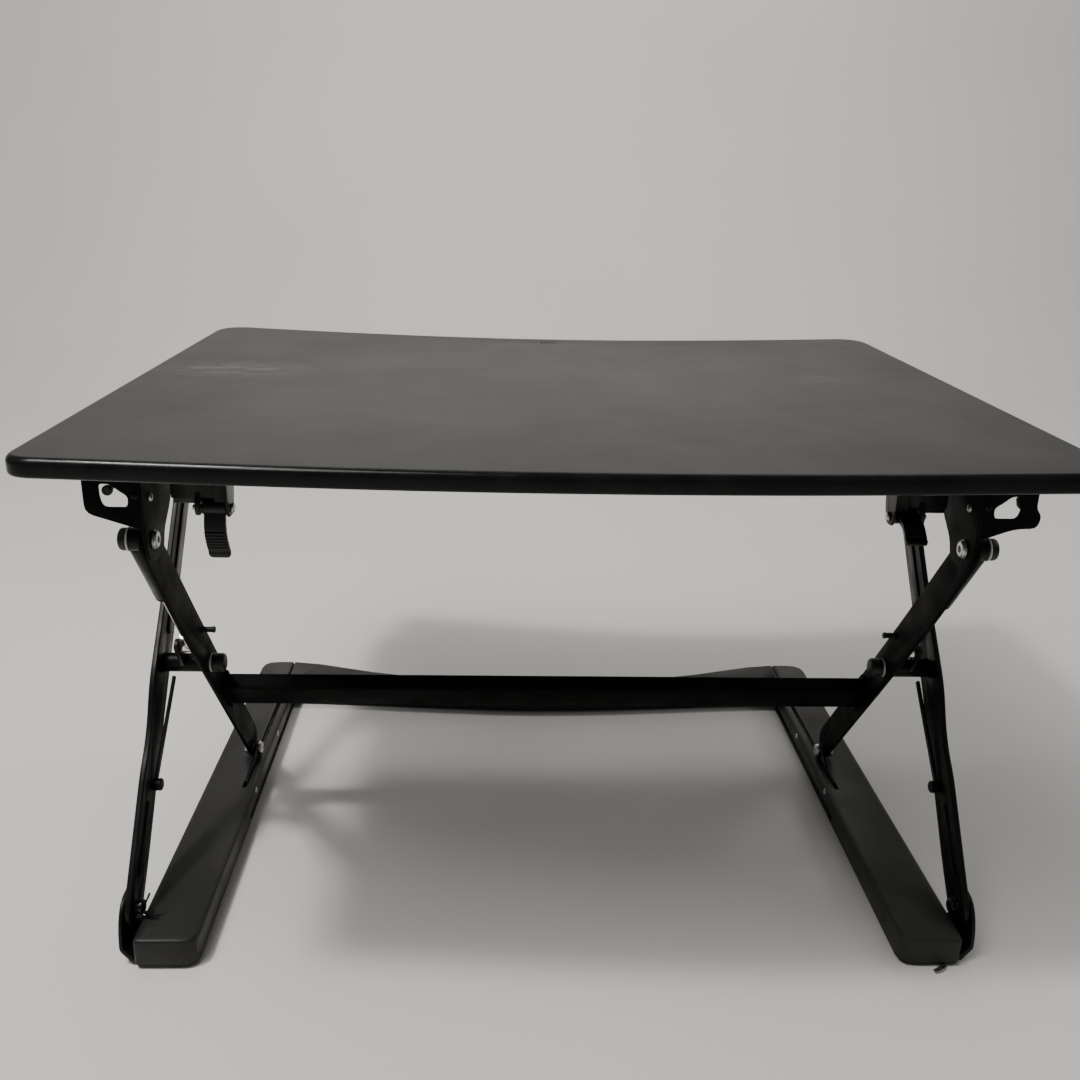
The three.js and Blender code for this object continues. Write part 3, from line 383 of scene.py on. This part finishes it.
# ---- cable ties and clip -----------------------------------------------------------------
# Two cut tails of a black cable tie stick out of the left base pivot. A bent spring clip
# of bright strip peeps out from under the right front foot.
def strip(name, path, wide, thick, look):
    """Flat strip along a path: at each point a rectangle, wide across and thick through."""
    path = np.array(path, float)
    ahead = np.gradient(path, axis=0)
    ahead /= np.linalg.norm(ahead, axis=1, keepdims=True)
    across = np.cross(ahead, (0.0, 0.0, 1.0))
    across /= np.linalg.norm(across, axis=1, keepdims=True)
    through = np.cross(across, ahead)
    grid = np.stack([path + a * wide / 2 * across + b * thick / 2 * through
                     for a, b in ((-1, -1), (1, -1), (1, 1), (-1, 1))], axis=1)
    return skin(name, grid, look)


def arc(start, bend, end, count=14):
    """Points of a parabola that leaves start towards bend and arrives at end."""
    t = np.linspace(0.0, 1.0, count)[:, None]
    return (1 - t) ** 2 * np.array(start) + 2 * t * (1 - t) * np.array(bend) + t ** 2 * np.array(end)


_, tie_y, tie_z = middle_of("base_pivot_bolt_left")
TIE_TAILS = (
    [(-0.3775, tie_y - 0.004, tie_z + 0.003), (-0.374, tie_y - 0.006, tie_z + 0.009),
     (-0.370, tie_y - 0.005, tie_z + 0.018)],
    [(-0.3775, tie_y - 0.005, tie_z - 0.002), (-0.373, tie_y - 0.008, tie_z - 0.001),
     (-0.3665, tie_y - 0.008, tie_z + 0.001)],
)
TIE_WIDTH = 0.0034
TIE_THICK = 0.0016
for number, points in enumerate(TIE_TAILS, start=1):
    tail = strip(f"tie_tail_{number}", arc(*points), TIE_WIDTH, TIE_THICK, BLACK_STEEL)
    ease_edges(tail, 0.0002)
    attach(tail, "base")

clip_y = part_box("base_rail_right")[0][1]
CLIP_WIDTH = 0.005
CLIP_THICK = 0.0009
clip = strip("foot_clip",
             arc((0.3670, clip_y + 0.004, 0.0012), (0.3625, clip_y - 0.0075, 0.0050),
                 (0.3535, clip_y - 0.0075, 0.0008)),
             CLIP_WIDTH, CLIP_THICK, ZINC_STEEL)
ease_edges(clip, 0.0001)
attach(clip, "base")


# ---- outer arms ----------------------------------------------------------------------
# Thick steel blades with long pressed ribs, powder coated gloss black. A narrow stay and a
# round stop boss are fixed on the inner face below the middle pivot.
dress(both("outer_arm"), BLACK_STEEL, 0.0006)
dress(both("arm_stay"), BLACK_STEEL, 0.0004)


# ---- inner frame ----------------------------------------------------------------------
# Two flat blades joined by a rectangular tube with welded end plates, so both sides lift
# together, in a flatter black than the outer arms. A short plastic peg on each blade
# guides the lever cable.
SATIN_STEEL = black_steel("satin_steel", 0.46, 0.62, 1.12)
dress(both("inner_arm"), SATIN_STEEL, 0.0005)
dress(["cross_bar"] + both("cross_bar_end"), SATIN_STEEL, 0.0008)


def black_plastic():
    """Satin plastic: black with a slight grey bloom and a fine moulded texture."""
    made, tree, shader = material("black_plastic")
    tree.links.new(shade(tree, noise(tree, 50.0, detail=5.0), (0.005, 0.005, 0.005),
                         (0.012, 0.012, 0.0115)), shader.inputs["Base Color"])
    shader.inputs["Specular IOR Level"].default_value = 0.35
    tree.links.new(between(tree, noise(tree, 80.0, detail=5.0), 0.34, 0.5),
                   shader.inputs["Roughness"])
    tree.links.new(relief(tree, noise(tree, 1500.0), 0.00005), shader.inputs["Normal"])
    return made


BLACK_PLASTIC = black_plastic()
for hand, side in SIDES:
    cad = f"cable_peg_{hand}"
    _, y, z = middle_of(cad)
    inner, outer = span_of(cad)
    peg = turned(f"guide_peg_{hand}",
                 [(0.0, 0.0), (0.0, 0.0025), (0.0008, 0.0032), (0.0026, 0.0032), (0.0032, 0.0028),
                  (0.0104, 0.0028), (0.0110, 0.0032), (outer - inner, 0.0032), (outer - inner, 0.0)],
                 (side * inner, y, z), (side, 0, 0), BLACK_PLASTIC, steps=28)
    ease_edges(peg, 0.0003)
    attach(peg, "inner_frame")
    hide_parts(cad)


# ---- middle pivots ---------------------------------------------------------------------
# A spacer tube on the outer arm carries the crossing. Its bolt ends in a black cap on the
# inner side, over a pale washer, and in a nut outside. A lug holds the gas spring's pin.
def pale_washer():
    """Nylon washer: off-white, faintly mottled, satin."""
    made, tree, shader = material("pale_washer")
    tree.links.new(shade(tree, noise(tree, 200.0), (0.52, 0.51, 0.47), (0.66, 0.65, 0.6)),
                   shader.inputs["Base Color"])
    tree.links.new(between(tree, noise(tree, 300.0), 0.35, 0.5), shader.inputs["Roughness"])
    tree.links.new(relief(tree, noise(tree, 1800.0), 0.00003), shader.inputs["Normal"])
    return made


PALE_WASHER = pale_washer()
dress(both("centre_tube"), BLACK_STEEL, 0.0005)
for hand, side in SIDES:
    cad = f"centre_bolt_{hand}"
    _, y, z = middle_of(cad)
    inner, outer = span_of(cad)
    cap = turned(f"centre_cap_{hand}",
                 [(0.0, 0.0), (0.0, 0.0066), (0.0009, 0.0085), (0.0026, 0.0095), (0.0118, 0.0095),
                  (0.0124, 0.009), (0.0124, 0.0)],
                 (side * inner, y, z), (side, 0, 0), BLACK_PLASTIC, steps=48)
    ease_edges(cap, 0.0004)
    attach(cap, f"outer_arm_{hand}")
    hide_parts(cad)
    washer = turned(f"centre_washer_{hand}",
                    [(0.0, 0.0), (0.0, 0.0094), (0.0018, 0.0094), (0.0018, 0.0)],
                    (side * (inner + 0.0127), y, z), (side, 0, 0), PALE_WASHER, steps=48)
    ease_edges(washer, 0.0003)
    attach(washer, f"outer_arm_{hand}")
    shaft = turned(f"centre_shaft_{hand}",
                   [(0.003, 0.0), (0.003, 0.005), (outer - inner - 0.0046, 0.005),
                    (outer - inner - 0.0044, 0.0066), (outer - inner - 0.0006, 0.0066),
                    (outer - inner, 0.0058), (outer - inner, 0.0)],
                   (side * inner, y, z), (side, 0, 0), ZINC_STEEL, steps=48, six=(3, 4, 5))
    ease_edges(shaft, 0.0003)
    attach(shaft, f"outer_arm_{hand}")


# ---- gas springs ------------------------------------------------------------------------
# A black painted pressure tube with a welded eye, and a ground bright rod with a collar
# and an eye at its end. One stands beside each inner arm.
def ground_rod():
    """Ground bright steel: warm light metal with very fine rings round the rod."""
    made, tree, shader = material("nickel_steel")
    tree.links.new(shade(tree, noise(tree, 60.0), (0.62, 0.6, 0.56), (0.78, 0.76, 0.72)),
                   shader.inputs["Base Color"])
    shader.inputs["Metallic"].default_value = 1.0
    tree.links.new(between(tree, noise(tree, 500.0), 0.12, 0.26), shader.inputs["Roughness"])
    tree.links.new(relief(tree, noise(tree, 2400.0, stretch=(0.2, 1.0, 1.0)), 0.00002),
                   shader.inputs["Normal"])
    return made


GROUND_ROD = ground_rod()
TUBE_MIDDLE = 0.0075
TUBE_FOOT = 0.0047
slides = {joint["name"]: joint for joint in frame["joints"] if joint["type"] == "slide"}
for hand, side in SIDES:
    down = np.array(slides[f"gas_rod_{hand}_slide"]["axis"], float)
    low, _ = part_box(f"gas_cylinder_{hand}")
    pivot = middle_of(f"upper_pivot_bolt_{hand}")
    inner, outer = span_of(f"gas_cylinder_{hand}")
    top = np.array((side * (outer - TUBE_MIDDLE), pivot[1], pivot[2]))
    reach = (pivot[2] - low[2] - TUBE_FOOT) / abs(down[2])
    tube = turned(f"gas_tube_{hand}",
                  [(0.008, 0.0), (0.008, 0.0052), (0.0098, 0.0067), (0.012, 0.0072),
                   (reach - 0.0065, 0.0072), (reach - 0.0055, 0.0067), (reach - 0.0045, 0.0067),
                   (reach - 0.0035, 0.0072), (reach - 0.0015, 0.0069), (reach, 0.0052), (reach, 0.0)],
                  top, down, BLACK_STEEL, steps=48)
    ease_edges(tube, 0.0003)
    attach(tube, f"gas_cylinder_{hand}")
    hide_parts(f"gas_cylinder_{hand}")
    eye = turned(f"gas_eye_{hand}",
                 [(0.0, 0.0), (0.0, 0.0084), (0.0005, 0.0095), (0.0098, 0.0095), (0.0103, 0.0084),
                  (0.0103, 0.0)],
                 (side * (inner + 0.0001), pivot[1], pivot[2]), (side, 0, 0), BLACK_STEEL, steps=48)
    ease_edges(eye, 0.0004)
    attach(eye, f"gas_cylinder_{hand}")
    rod_low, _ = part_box(f"gas_rod_{hand}")
    rod_end = (pivot[2] - rod_low[2]) / abs(down[2])
    rod = turned(f"spring_rod_{hand}",
                 [(reach - 0.06, 0.0), (reach - 0.06, 0.003), (rod_end - 0.031, 0.003),
                  (rod_end - 0.0305, 0.0052), (rod_end - 0.027, 0.0052), (rod_end - 0.0265, 0.0044),
                  (rod_end - 0.014, 0.0044), (rod_end - 0.0135, 0.0)],
                 top, down, GROUND_ROD, steps=40)
    ease_edges(rod, 0.0002)
    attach(rod, f"gas_rod_{hand}")
dress(both("gas_rod"), GROUND_ROD, 0.0006)


# ---- upper front pivots ------------------------------------------------------------------
# The inner arm and the gas spring hang on one bolt through the front bracket. Its bright
# domed head faces inwards; outside the eye sit a pale washer and a black cap.
for hand, side in SIDES:
    cad = f"upper_pivot_bolt_{hand}"
    _, y, z = middle_of(cad)
    inner, outer = span_of(cad)
    head = turned(f"upper_pivot_head_{hand}",
                  [(0.0034, 0.0), (0.0034, 0.0028), (0.0015, 0.0028), (0.0013, 0.004),
                   (0.0019, 0.0063), (0.0031, 0.0074), (0.0042, 0.0074), (0.0042, 0.008),
                   (0.0051, 0.008), (0.0051, 0.005), (0.026, 0.005), (0.026, 0.0)],
                  (side * inner, y, z), (side, 0, 0), ZINC_STEEL, steps=48, six=(1, 2))
    ease_edges(head, 0.0003)
    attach(head, "desktop")
    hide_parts(cad)
    washer = turned(f"upper_washer_{hand}",
                    [(0.0, 0.0), (0.0, 0.0101), (0.0015, 0.0101), (0.0015, 0.0)],
                    (side * (outer - 0.0087), y, z), (side, 0, 0), PALE_WASHER, steps=48)
    ease_edges(washer, 0.0003)
    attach(washer, "desktop")
    cap = turned(f"upper_cap_{hand}",
                 [(0.0, 0.0), (0.0, 0.0095), (0.0046, 0.0095), (0.0062, 0.0085), (0.0071, 0.0066),
                  (0.0071, 0.0)],
                 (side * (outer - 0.0071), y, z), (side, 0, 0), BLACK_PLASTIC, steps=48)
    ease_edges(cap, 0.0004)
    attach(cap, "desktop")


# ---- front brackets -------------------------------------------------------------------------
# Bent steel plates screwed to the underside of the board. The side plates carry the upper
# pivots, and the front plates, each with a window, are where a lower shelf would hang.
dress(both("front_bracket") + both("shelf_bracket"), SATIN_STEEL, 0.0005)


def pan_screw(name, middle, axis, radius, look):
    """Pan-head screw: a dome that is a quarter ellipse in section, with a recessed centre."""
    lift = np.linspace(0.0, np.pi / 2, 7)
    dome = np.stack([0.0017 * np.cos(lift), 0.0009 + (radius - 0.0009) * np.sin(lift)], axis=-1)
    profile = [(0.0005, 0.0), (0.0005, 0.0008)] + dome.tolist() + [(-0.0006, radius), (-0.0006, 0.0)]
    screw = turned(name, profile, middle, axis, look, steps=24)
    ease_edges(screw, 0.0002, 50.0)
    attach(screw, "desktop")


SIDE_SCREW_DEPTH = 0.009
SIDE_SCREW_BEHIND = 0.021
SIDE_SCREW_BELOW = 0.048
SHELF_SCREW_EDGE = 0.0035
SHELF_SCREW_BELOW = 0.04
STUD_BACK = 0.0042
STUD_BELOW = 0.0375
STUD_LENGTH = 0.012
STUDS = {
    "left": {"reach": 0.3635, "face": 0.003, "head": 0.0042, "deep": 0.004, "shank": 0.0024},
    "right": {"reach": 0.373, "face": 0.0052, "head": 0.0062, "deep": 0.0045, "shank": 0.003},
}
for hand, side in SIDES:
    low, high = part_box(f"front_bracket_{hand}")
    plate_low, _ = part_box(f"shelf_bracket_{hand}")
    side_face, _ = span_of(f"front_bracket_{hand}")
    plate_edge, _ = span_of(f"shelf_bracket_{hand}")
    pan_screw(f"bracket_screw_{hand}",
              (side * (side_face + SIDE_SCREW_DEPTH), low[1] + SIDE_SCREW_BEHIND, high[2] - SIDE_SCREW_BELOW),
              (-side, 0, 0), 0.0036, ZINC_STEEL)
    size = STUDS[hand]
    stud = turned(f"shelf_stud_{hand}",
                  [(0.0, 0.0), (0.0, size["face"]), (0.0008, size["head"]), (size["deep"], size["head"]),
                   (size["deep"], size["shank"]), (STUD_LENGTH, size["shank"]), (STUD_LENGTH, 0.0)],
                  (side * size["reach"], plate_low[1] + STUD_BACK, high[2] - STUD_BELOW), (0, 1, 0),
                  BLACK_PLASTIC)
    ease_edges(stud, 0.0003)
    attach(stud, "desktop")
    pan_screw(f"shelf_screw_{hand}",
              (side * (plate_edge + SHELF_SCREW_EDGE), plate_low[1], high[2] - SHELF_SCREW_BELOW),
              (0, -1, 0), 0.0028, BLACK_STEEL)


# ---- hand levers ---------------------------------------------------------------------------
# A moulded paddle hangs on a steel pin between a black plate and a black cable housing.
# Pulling either one frees the lock. The lower half of the paddle has finger ribs.
dress(both("lever_bracket"), BLACK_STEEL, 0.0004)
dress(both("lever_housing"), BLACK_PLASTIC, 0.0008)

BLADE_TOP = -0.001
BLADE_LENGTH = 0.044
BLADE_MIDDLE = 0.0095
RIB_COUNT = 6
RIB_HEIGHT = 0.0009
SIDE_PLAY = 0.0006
BUILT_SWING = {"left": 0.0, "right": -70.0}


def paddle(name, pin, inner_x, side, swing):
    """Blade between a front and a rear curve, both functions of the drop t below the pin.
    Its section is a rounded rectangle; ribs lift the front by a row of half sine waves."""
    rows = 120
    t = np.linspace(0.0, 1.0, rows)
    drop = BLADE_TOP + BLADE_LENGTH * t
    front = -0.0035 - 0.0045 * np.sin(np.pi * np.clip(t * 1.15, 0, 1)) ** 1.2 - 0.0025 * t ** 2
    thick = 0.0066 - 0.0022 * t
    ribs = np.clip((t - 0.45) / 0.38, 0, 1)
    front = front - RIB_HEIGHT * np.abs(np.sin(RIB_COUNT * np.pi * ribs)) * (ribs > 0) * (ribs < 1)
    end = np.sqrt(np.clip(1 - ((t - 0.91) / 0.09).clip(0, 1) ** 2, 0.0, 1)).clip(0.1, 1)
    half_wide = (0.0088 + 0.0004 * t) * (0.6 + 0.4 * end)
    shift = -0.0022 * np.clip((t - 0.3) / 0.7, 0, 1) ** 1.5
    columns = 48
    angle = np.arange(columns) / columns * 2 * np.pi
    squareness = 0.28
    wide = np.sign(np.cos(angle)) * np.abs(np.cos(angle)) ** squareness
    deep = np.sign(np.sin(angle)) * np.abs(np.sin(angle)) ** squareness
    x = side * (inner_x + BLADE_MIDDLE + shift[:, None] + half_wide[:, None] * wide)
    y = (front + thick / 2)[:, None] + (thick / 2 * end)[:, None] * deep
    z = np.repeat(-drop[:, None], columns, axis=1)
    turn = math.radians(swing)
    grid = np.stack([x, pin[1] + y * math.cos(turn) - z * math.sin(turn),
                     pin[2] + y * math.sin(turn) + z * math.cos(turn)], axis=-1)
    return skin(name, grid, BLACK_PLASTIC)


for hand, side in SIDES:
    cad = f"lever_{hand}"
    pin = middle_of(f"lever_pin_{hand}")
    inner, _ = span_of(cad)
    blade = paddle(f"lever_paddle_{hand}", pin, inner + SIDE_PLAY, side, BUILT_SWING[hand])
    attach(blade, cad)
    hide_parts(cad)
    hub = turned(f"lever_hub_{hand}",
                 [(0.0, 0.0), (0.0, 0.0048), (0.0008, 0.006), (0.0198, 0.006), (0.0206, 0.0048),
                  (0.0206, 0.0)],
                 (side * inner, pin[1], pin[2]), (side, 0, 0), BLACK_PLASTIC, steps=40)
    ease_edges(hub, 0.0004)
    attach(hub, cad)
    pin_start, pin_end = span_of(f"lever_pin_{hand}")
    length = pin_end - pin_start
    rivet = turned(f"lever_rivet_{hand}",
                   [(0.0, 0.0), (0.0, 0.003), (0.0007, 0.0042), (0.0022, 0.0042), (0.0022, 0.0026),
                    (length - 0.0005, 0.0026), (length, 0.0022), (length, 0.0)],
                   (side * pin_start, pin[1], pin[2]), (side, 0, 0), ZINC_STEEL, steps=32)
    ease_edges(rivet, 0.0003)
    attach(rivet, "desktop")
    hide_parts(f"lever_pin_{hand}")


# ---- rails under the rear --------------------------------------------------------------------
# C-shaped steel rails hang from the board on two tabs each. A nylon shoe slides in each
# rail and carries the outer arm's upper end on a bolt with a nut outside.
dress(both("top_rail"), BLACK_STEEL, 0.0004)
dress(both("top_shoe"), BLACK_PLASTIC, 0.0006)
dress(both("top_shoe_bolt"), ZINC_STEEL, 0.0003)


# ---- board ---------------------------------------------------------------------------------
# Fibreboard 15 mm thick under a charcoal foil with a fine leathery grain. The edge is
# rounded over and slightly glossier, the front bows out and the rear is hollowed.
def bezier(corners, count):
    """Points of one Bezier curve: the sum of the corners weighted by Bernstein polynomials."""
    corners = np.array(corners, float)
    degree = len(corners) - 1
    t = np.arange(count)[:, None] / count
    powers = np.arange(degree + 1)
    weights = np.array([math.comb(degree, int(k)) for k in powers])
    return (weights * t ** powers * (1 - t) ** (degree - powers)) @ corners


def board_outline(half, front, rear):
    """Right half of the rim as five curves, followed by its mirror image, counter-clockwise."""
    corner, rear_corner, bow, hollow = 0.024, 0.032, 0.020, 0.051
    side_y = front + bow
    curves = [
        bezier([(0, front), (half * 0.45, front), (half * 0.7, side_y - 0.007),
                (half - corner, side_y - 0.001)], 70),
        bezier([(half - corner, side_y - 0.001), (half, side_y), (half, side_y + corner)], 24),
        bezier([(half, side_y + corner), (half, rear - rear_corner * 1.25)], 30),
        bezier([(half, rear - rear_corner * 1.25), (half, rear), (half - rear_corner, rear)], 28),
        bezier([(half - rear_corner, rear), (half * 0.66, rear - 0.025), (half * 0.3, rear - hollow),
                (0, rear - hollow)], 70),
    ]
    right = np.vstack(curves)
    left = np.vstack([[(0, rear - hollow)], right[:0:-1] * (-1, 1)])
    return np.vstack([right, left])


def inset(outline, distance):
    """The outline moved inwards, square to itself."""
    along = np.roll(outline, -1, axis=0) - np.roll(outline, 1, axis=0)
    along /= np.linalg.norm(along, axis=1, keepdims=True)
    inward = np.stack([-along[:, 1], along[:, 0]], axis=-1)
    return outline + inward * distance


def spot(tree, middle, reach, strength, solid):
    """An ellipse on the board's top: strength inside the solid share of it, nought at its rim."""
    place = tree.nodes.new("ShaderNodeTexCoord")
    settle = tree.nodes.new("ShaderNodeMapping")
    settle.vector_type = "TEXTURE"
    settle.inputs["Location"].default_value = (*middle, 0.5)
    settle.inputs["Scale"].default_value = (*reach, 0.1)
    away = tree.nodes.new("ShaderNodeVectorMath")
    away.operation = "LENGTH"
    tree.links.new(place.outputs["Object"], settle.inputs["Vector"])
    tree.links.new(settle.outputs["Vector"], away.inputs[0])
    return between(tree, away.outputs["Value"], strength, 0.0, solid, 1.0)


def combine(tree, operation, one, other):
    """One sum or product of two values, clamped to 0..1."""
    maths = tree.nodes.new("ShaderNodeMath")
    maths.operation = operation
    maths.use_clamp = True
    tree.links.new(one, maths.inputs[0])
    tree.links.new(other, maths.inputs[1])
    return maths.outputs["Value"]


def board_foil():
    """Charcoal foil: leathery grain under a millimetre, broad sheen changes, a wiped chalky
    smear on the left, a fainter one on the right and a few pale specks."""
    made, tree, shader = material("board_foil")
    mix = tree.nodes.new("ShaderNodeMix")
    mix.data_type = "RGBA"
    mix.inputs["B"].default_value = (0.16, 0.155, 0.145, 1.0)
    broad = noise(tree, 3.2, detail=5.0, roughness=0.6)
    tree.links.new(shade(tree, broad, (0.018, 0.0187, 0.0182), (0.0212, 0.0214, 0.0202)),
                   mix.inputs["A"])
    wisps = between(tree, noise(tree, 60.0, detail=9.0, roughness=0.75, stretch=(0.6, 1.3, 1.0)),
                    0.0, 1.0, 0.45, 0.72)
    smear = combine(tree, "MULTIPLY", spot(tree, (-0.315, 0.03), (0.1, 0.055), 1.0, 0.1), wisps)
    patch = combine(tree, "MULTIPLY", spot(tree, (0.272, 0.025), (0.045, 0.035), 0.5, 0.1), wisps)
    specks = between(tree, noise(tree, 110.0, detail=2.0), 0.0, 0.5, 0.8, 0.86)
    chip = spot(tree, (0.026, -0.166), (0.0016, 0.0016), 1.0, 0.6)
    marks = combine(tree, "ADD", combine(tree, "ADD", smear, patch), combine(tree, "ADD", specks, chip))
    tree.links.new(marks, mix.inputs["Factor"])
    tree.links.new(mix.outputs["Result"], shader.inputs["Base Color"])
    tree.links.new(between(tree, noise(tree, 9.0, detail=8.0, roughness=0.65), 0.46, 0.52),
                   shader.inputs["Roughness"])
    shader.inputs["Specular IOR Level"].default_value = 0.4
    grain = relief(tree, noise(tree, 900.0, detail=3.0, roughness=0.6), 0.00012)
    tree.links.new(grain, shader.inputs["Normal"])
    return made


def board_edge_painted_shade():
    """Rounded rim: the same foil drawn tight and glossier, with slight waviness. Its near-black base colour
    is painted shade, darker than the top's foil.
    """
    made, tree, shader = material("board_edge_painted_shade")
    # Base colour: painted shade, the rim made near black where the same foil on the top is charcoal.
    tree.links.new(shade(tree, noise(tree, 30.0, detail=5.0), (0.003, 0.003, 0.0034),
                         (0.006, 0.006, 0.006)), shader.inputs["Base Color"])
    tree.links.new(between(tree, noise(tree, 60.0, detail=4.0), 0.16, 0.26), shader.inputs["Roughness"])
    shader.inputs["IOR"].default_value = 1.28
    tree.links.new(relief(tree, noise(tree, 120.0, detail=2.0), 0.00012), shader.inputs["Normal"])
    return made


BOARD_FOIL = board_foil()
board_low, board_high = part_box("desktop_board")
plug_low, plug_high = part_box("rear_plug")
plug_radius = (plug_high[0] - plug_low[0]) / 2
plug_middle = middle_of("rear_plug")[:2]
rim = board_outline(board_high[0], board_low[1], board_high[1])
UPPER_ROUND = 0.0055
LOWER_ROUND = 0.003
upper = np.linspace(0.0, np.pi / 2, 9)
lower = np.linspace(0.0, np.pi / 2, 7)
edge = ([(0.0075, board_low[2]), (0.0045, board_low[2])]
        + [(LOWER_ROUND * (1 - math.sin(a)), board_low[2] + LOWER_ROUND * (1 - math.cos(a))) for a in lower]
        + [(UPPER_ROUND * (1 - math.cos(a)), board_high[2] - UPPER_ROUND * (1 - math.sin(a))) for a in upper]
        + [(UPPER_ROUND + 0.0005, board_high[2]), (0.0075, board_high[2])])
rings = [np.column_stack([inset(rim, distance), np.full(len(rim), z)]) for distance, z in edge]
away = rim - plug_middle
away /= np.linalg.norm(away, axis=1, keepdims=True)
hole = [(plug_radius + 0.0016, board_high[2]), (plug_radius + 0.0006, board_high[2] - 0.0004),
        (plug_radius + 0.0003, board_high[2] - 0.002), (plug_radius + 0.0003, board_low[2]),
        (plug_radius + 0.0016, board_low[2])]
rings += [np.column_stack([plug_middle + away * radius, np.full(len(rim), z)]) for radius, z in hole]
board = skin("board_finish", np.stack(rings), BOARD_FOIL, wrap_rows=True)
board.data.materials.append(board_edge_painted_shade())
# Faces of the rim rows take the second material, whose darker colour is painted shade.
row_of_face = np.arange(len(board.data.polygons)) // len(rim)
board.data.polygons.foreach_set("material_index",
                                ((row_of_face >= 1) & (row_of_face < len(edge) - 4)).astype(np.int32))
board.data.set_sharp_from_angle(angle=math.radians(50))
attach(board, "desktop")
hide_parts("desktop_board")

plug = turned("plug_cap",
              [(0.0, 0.0), (0.0, plug_radius * 0.9), (0.001, plug_radius), (0.0094, plug_radius),
               (0.0104, plug_radius * 0.9), (0.0102, plug_radius * 0.55), (0.0098, plug_radius * 0.5),
               (0.0098, 0.0)],
              (plug_middle[0], plug_middle[1], board_high[2] - 0.0107), (0, 0, 1), BLACK_PLASTIC, steps=48)
ease_edges(plug, 0.0003)
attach(plug, "desktop")
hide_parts("rear_plug")


# ---- studio ----------------------------------------------------------------------------------
# A pale matt sweep under a broad soft light and a small ceiling lamp, both above the left
# front, with a wash on the wall and a weak fill from the right. The camera looks down.
def studio_floor():
    """Plain pale floor paint with a barely visible mottle."""
    made, tree, shader = material("studio_floor")
    tree.links.new(shade(tree, noise(tree, 1.5), (0.68, 0.67, 0.65), (0.71, 0.70, 0.68)),
                   shader.inputs["Base Color"])
    shader.inputs["Roughness"].default_value = 0.75
    return made


def sweep(half_width, front, bend_start, bend_radius, top):
    """Flat floor that turns up into a wall: a straight run, a quarter circle, a straight rise."""
    turn = np.linspace(0.0, np.pi / 2, 24)
    y = np.concatenate([[front], bend_start + bend_radius * np.sin(turn), [bend_start + bend_radius]])
    z = np.concatenate([[0.0], bend_radius * (1 - np.cos(turn)), [top]])
    points = np.stack([np.stack([np.full(len(y), x), y, z], axis=-1) for x in (-half_width, half_width)])
    count = len(y)
    first = np.arange(count - 1)
    faces = np.stack([first, first + count, first + count + 1, first + 1], axis=-1)
    mesh = bpy.data.meshes.new("backdrop")
    mesh.from_pydata(points.reshape(-1, 3).tolist(), [], faces.tolist())
    mesh.polygons.foreach_set("use_smooth", np.ones(count - 1, bool))
    piece = bpy.data.objects.new("backdrop", mesh)
    bpy.context.scene.collection.objects.link(piece)
    coat(piece, studio_floor())


sweep(9.0, -9.0, 2.0, 1.2, 5.0)


def soft_light(name, place, target, size, power, colour):
    """An area light that faces its target, its size in metres and its power in watts."""
    data = bpy.data.lights.new(name, "AREA")
    data.shape = "RECTANGLE"
    data.size, data.size_y = size
    data.energy = power
    data.color = colour
    lamp = bpy.data.objects.new(name, data)
    lamp.location = place
    lamp.rotation_euler = (Vector(target) - Vector(place)).to_track_quat("-Z", "Y").to_euler()
    bpy.context.scene.collection.objects.link(lamp)


WARM_WHITE = (1.0, 0.985, 0.96)
soft_light("overhead", (-0.95, -0.95, 2.35), (0.0, 0.0, 0.2), (1.1, 1.1), 33.0, WARM_WHITE)
soft_light("ceiling_lamp", (-1.1, -0.7, 2.4), (-0.1, -0.1, 0.4), (0.22, 0.22), 34.0, WARM_WHITE)
soft_light("wall_wash", (0.0, 1.2, 3.0), (0.0, 3.2, 1.3), (3.4, 0.8), 64.0, WARM_WHITE)
soft_light("right_fill", (2.4, 0.2, 1.9), (0.0, 0.1, 0.2), (1.4, 1.0), 8.0, (1.0, 0.98, 0.95))
world = bpy.data.worlds.new("surround")
world.use_nodes = True
world.node_tree.nodes["Background"].inputs["Color"].default_value = (0.80, 0.79, 0.77, 1.0)
world.node_tree.nodes["Background"].inputs["Strength"].default_value = 0.22
bpy.context.scene.world = world

CAMERA_PLACE = (-0.05646, -1.04609, 0.69720)
PITCH, YAW, ROLL = math.radians(19.118), math.radians(2.4226), math.radians(1.5012)
forward = Vector((math.sin(YAW) * math.cos(PITCH), math.cos(YAW) * math.cos(PITCH), -math.sin(PITCH)))
level = Vector((math.cos(YAW), -math.sin(YAW), 0.0))
upward = level.cross(forward)
right = level * math.cos(ROLL) + upward * math.sin(ROLL)
up = upward * math.cos(ROLL) - level * math.sin(ROLL)
lens = bpy.data.cameras.new("view")
lens.sensor_width = 36.0
lens.lens = 36.0
camera = bpy.data.objects.new("view", lens)
camera.matrix_world = (Matrix.Translation(CAMERA_PLACE)
                       @ Matrix((right, up, -forward)).transposed().to_4x4())
bpy.context.scene.collection.objects.link(camera)
bpy.context.scene.camera = camera
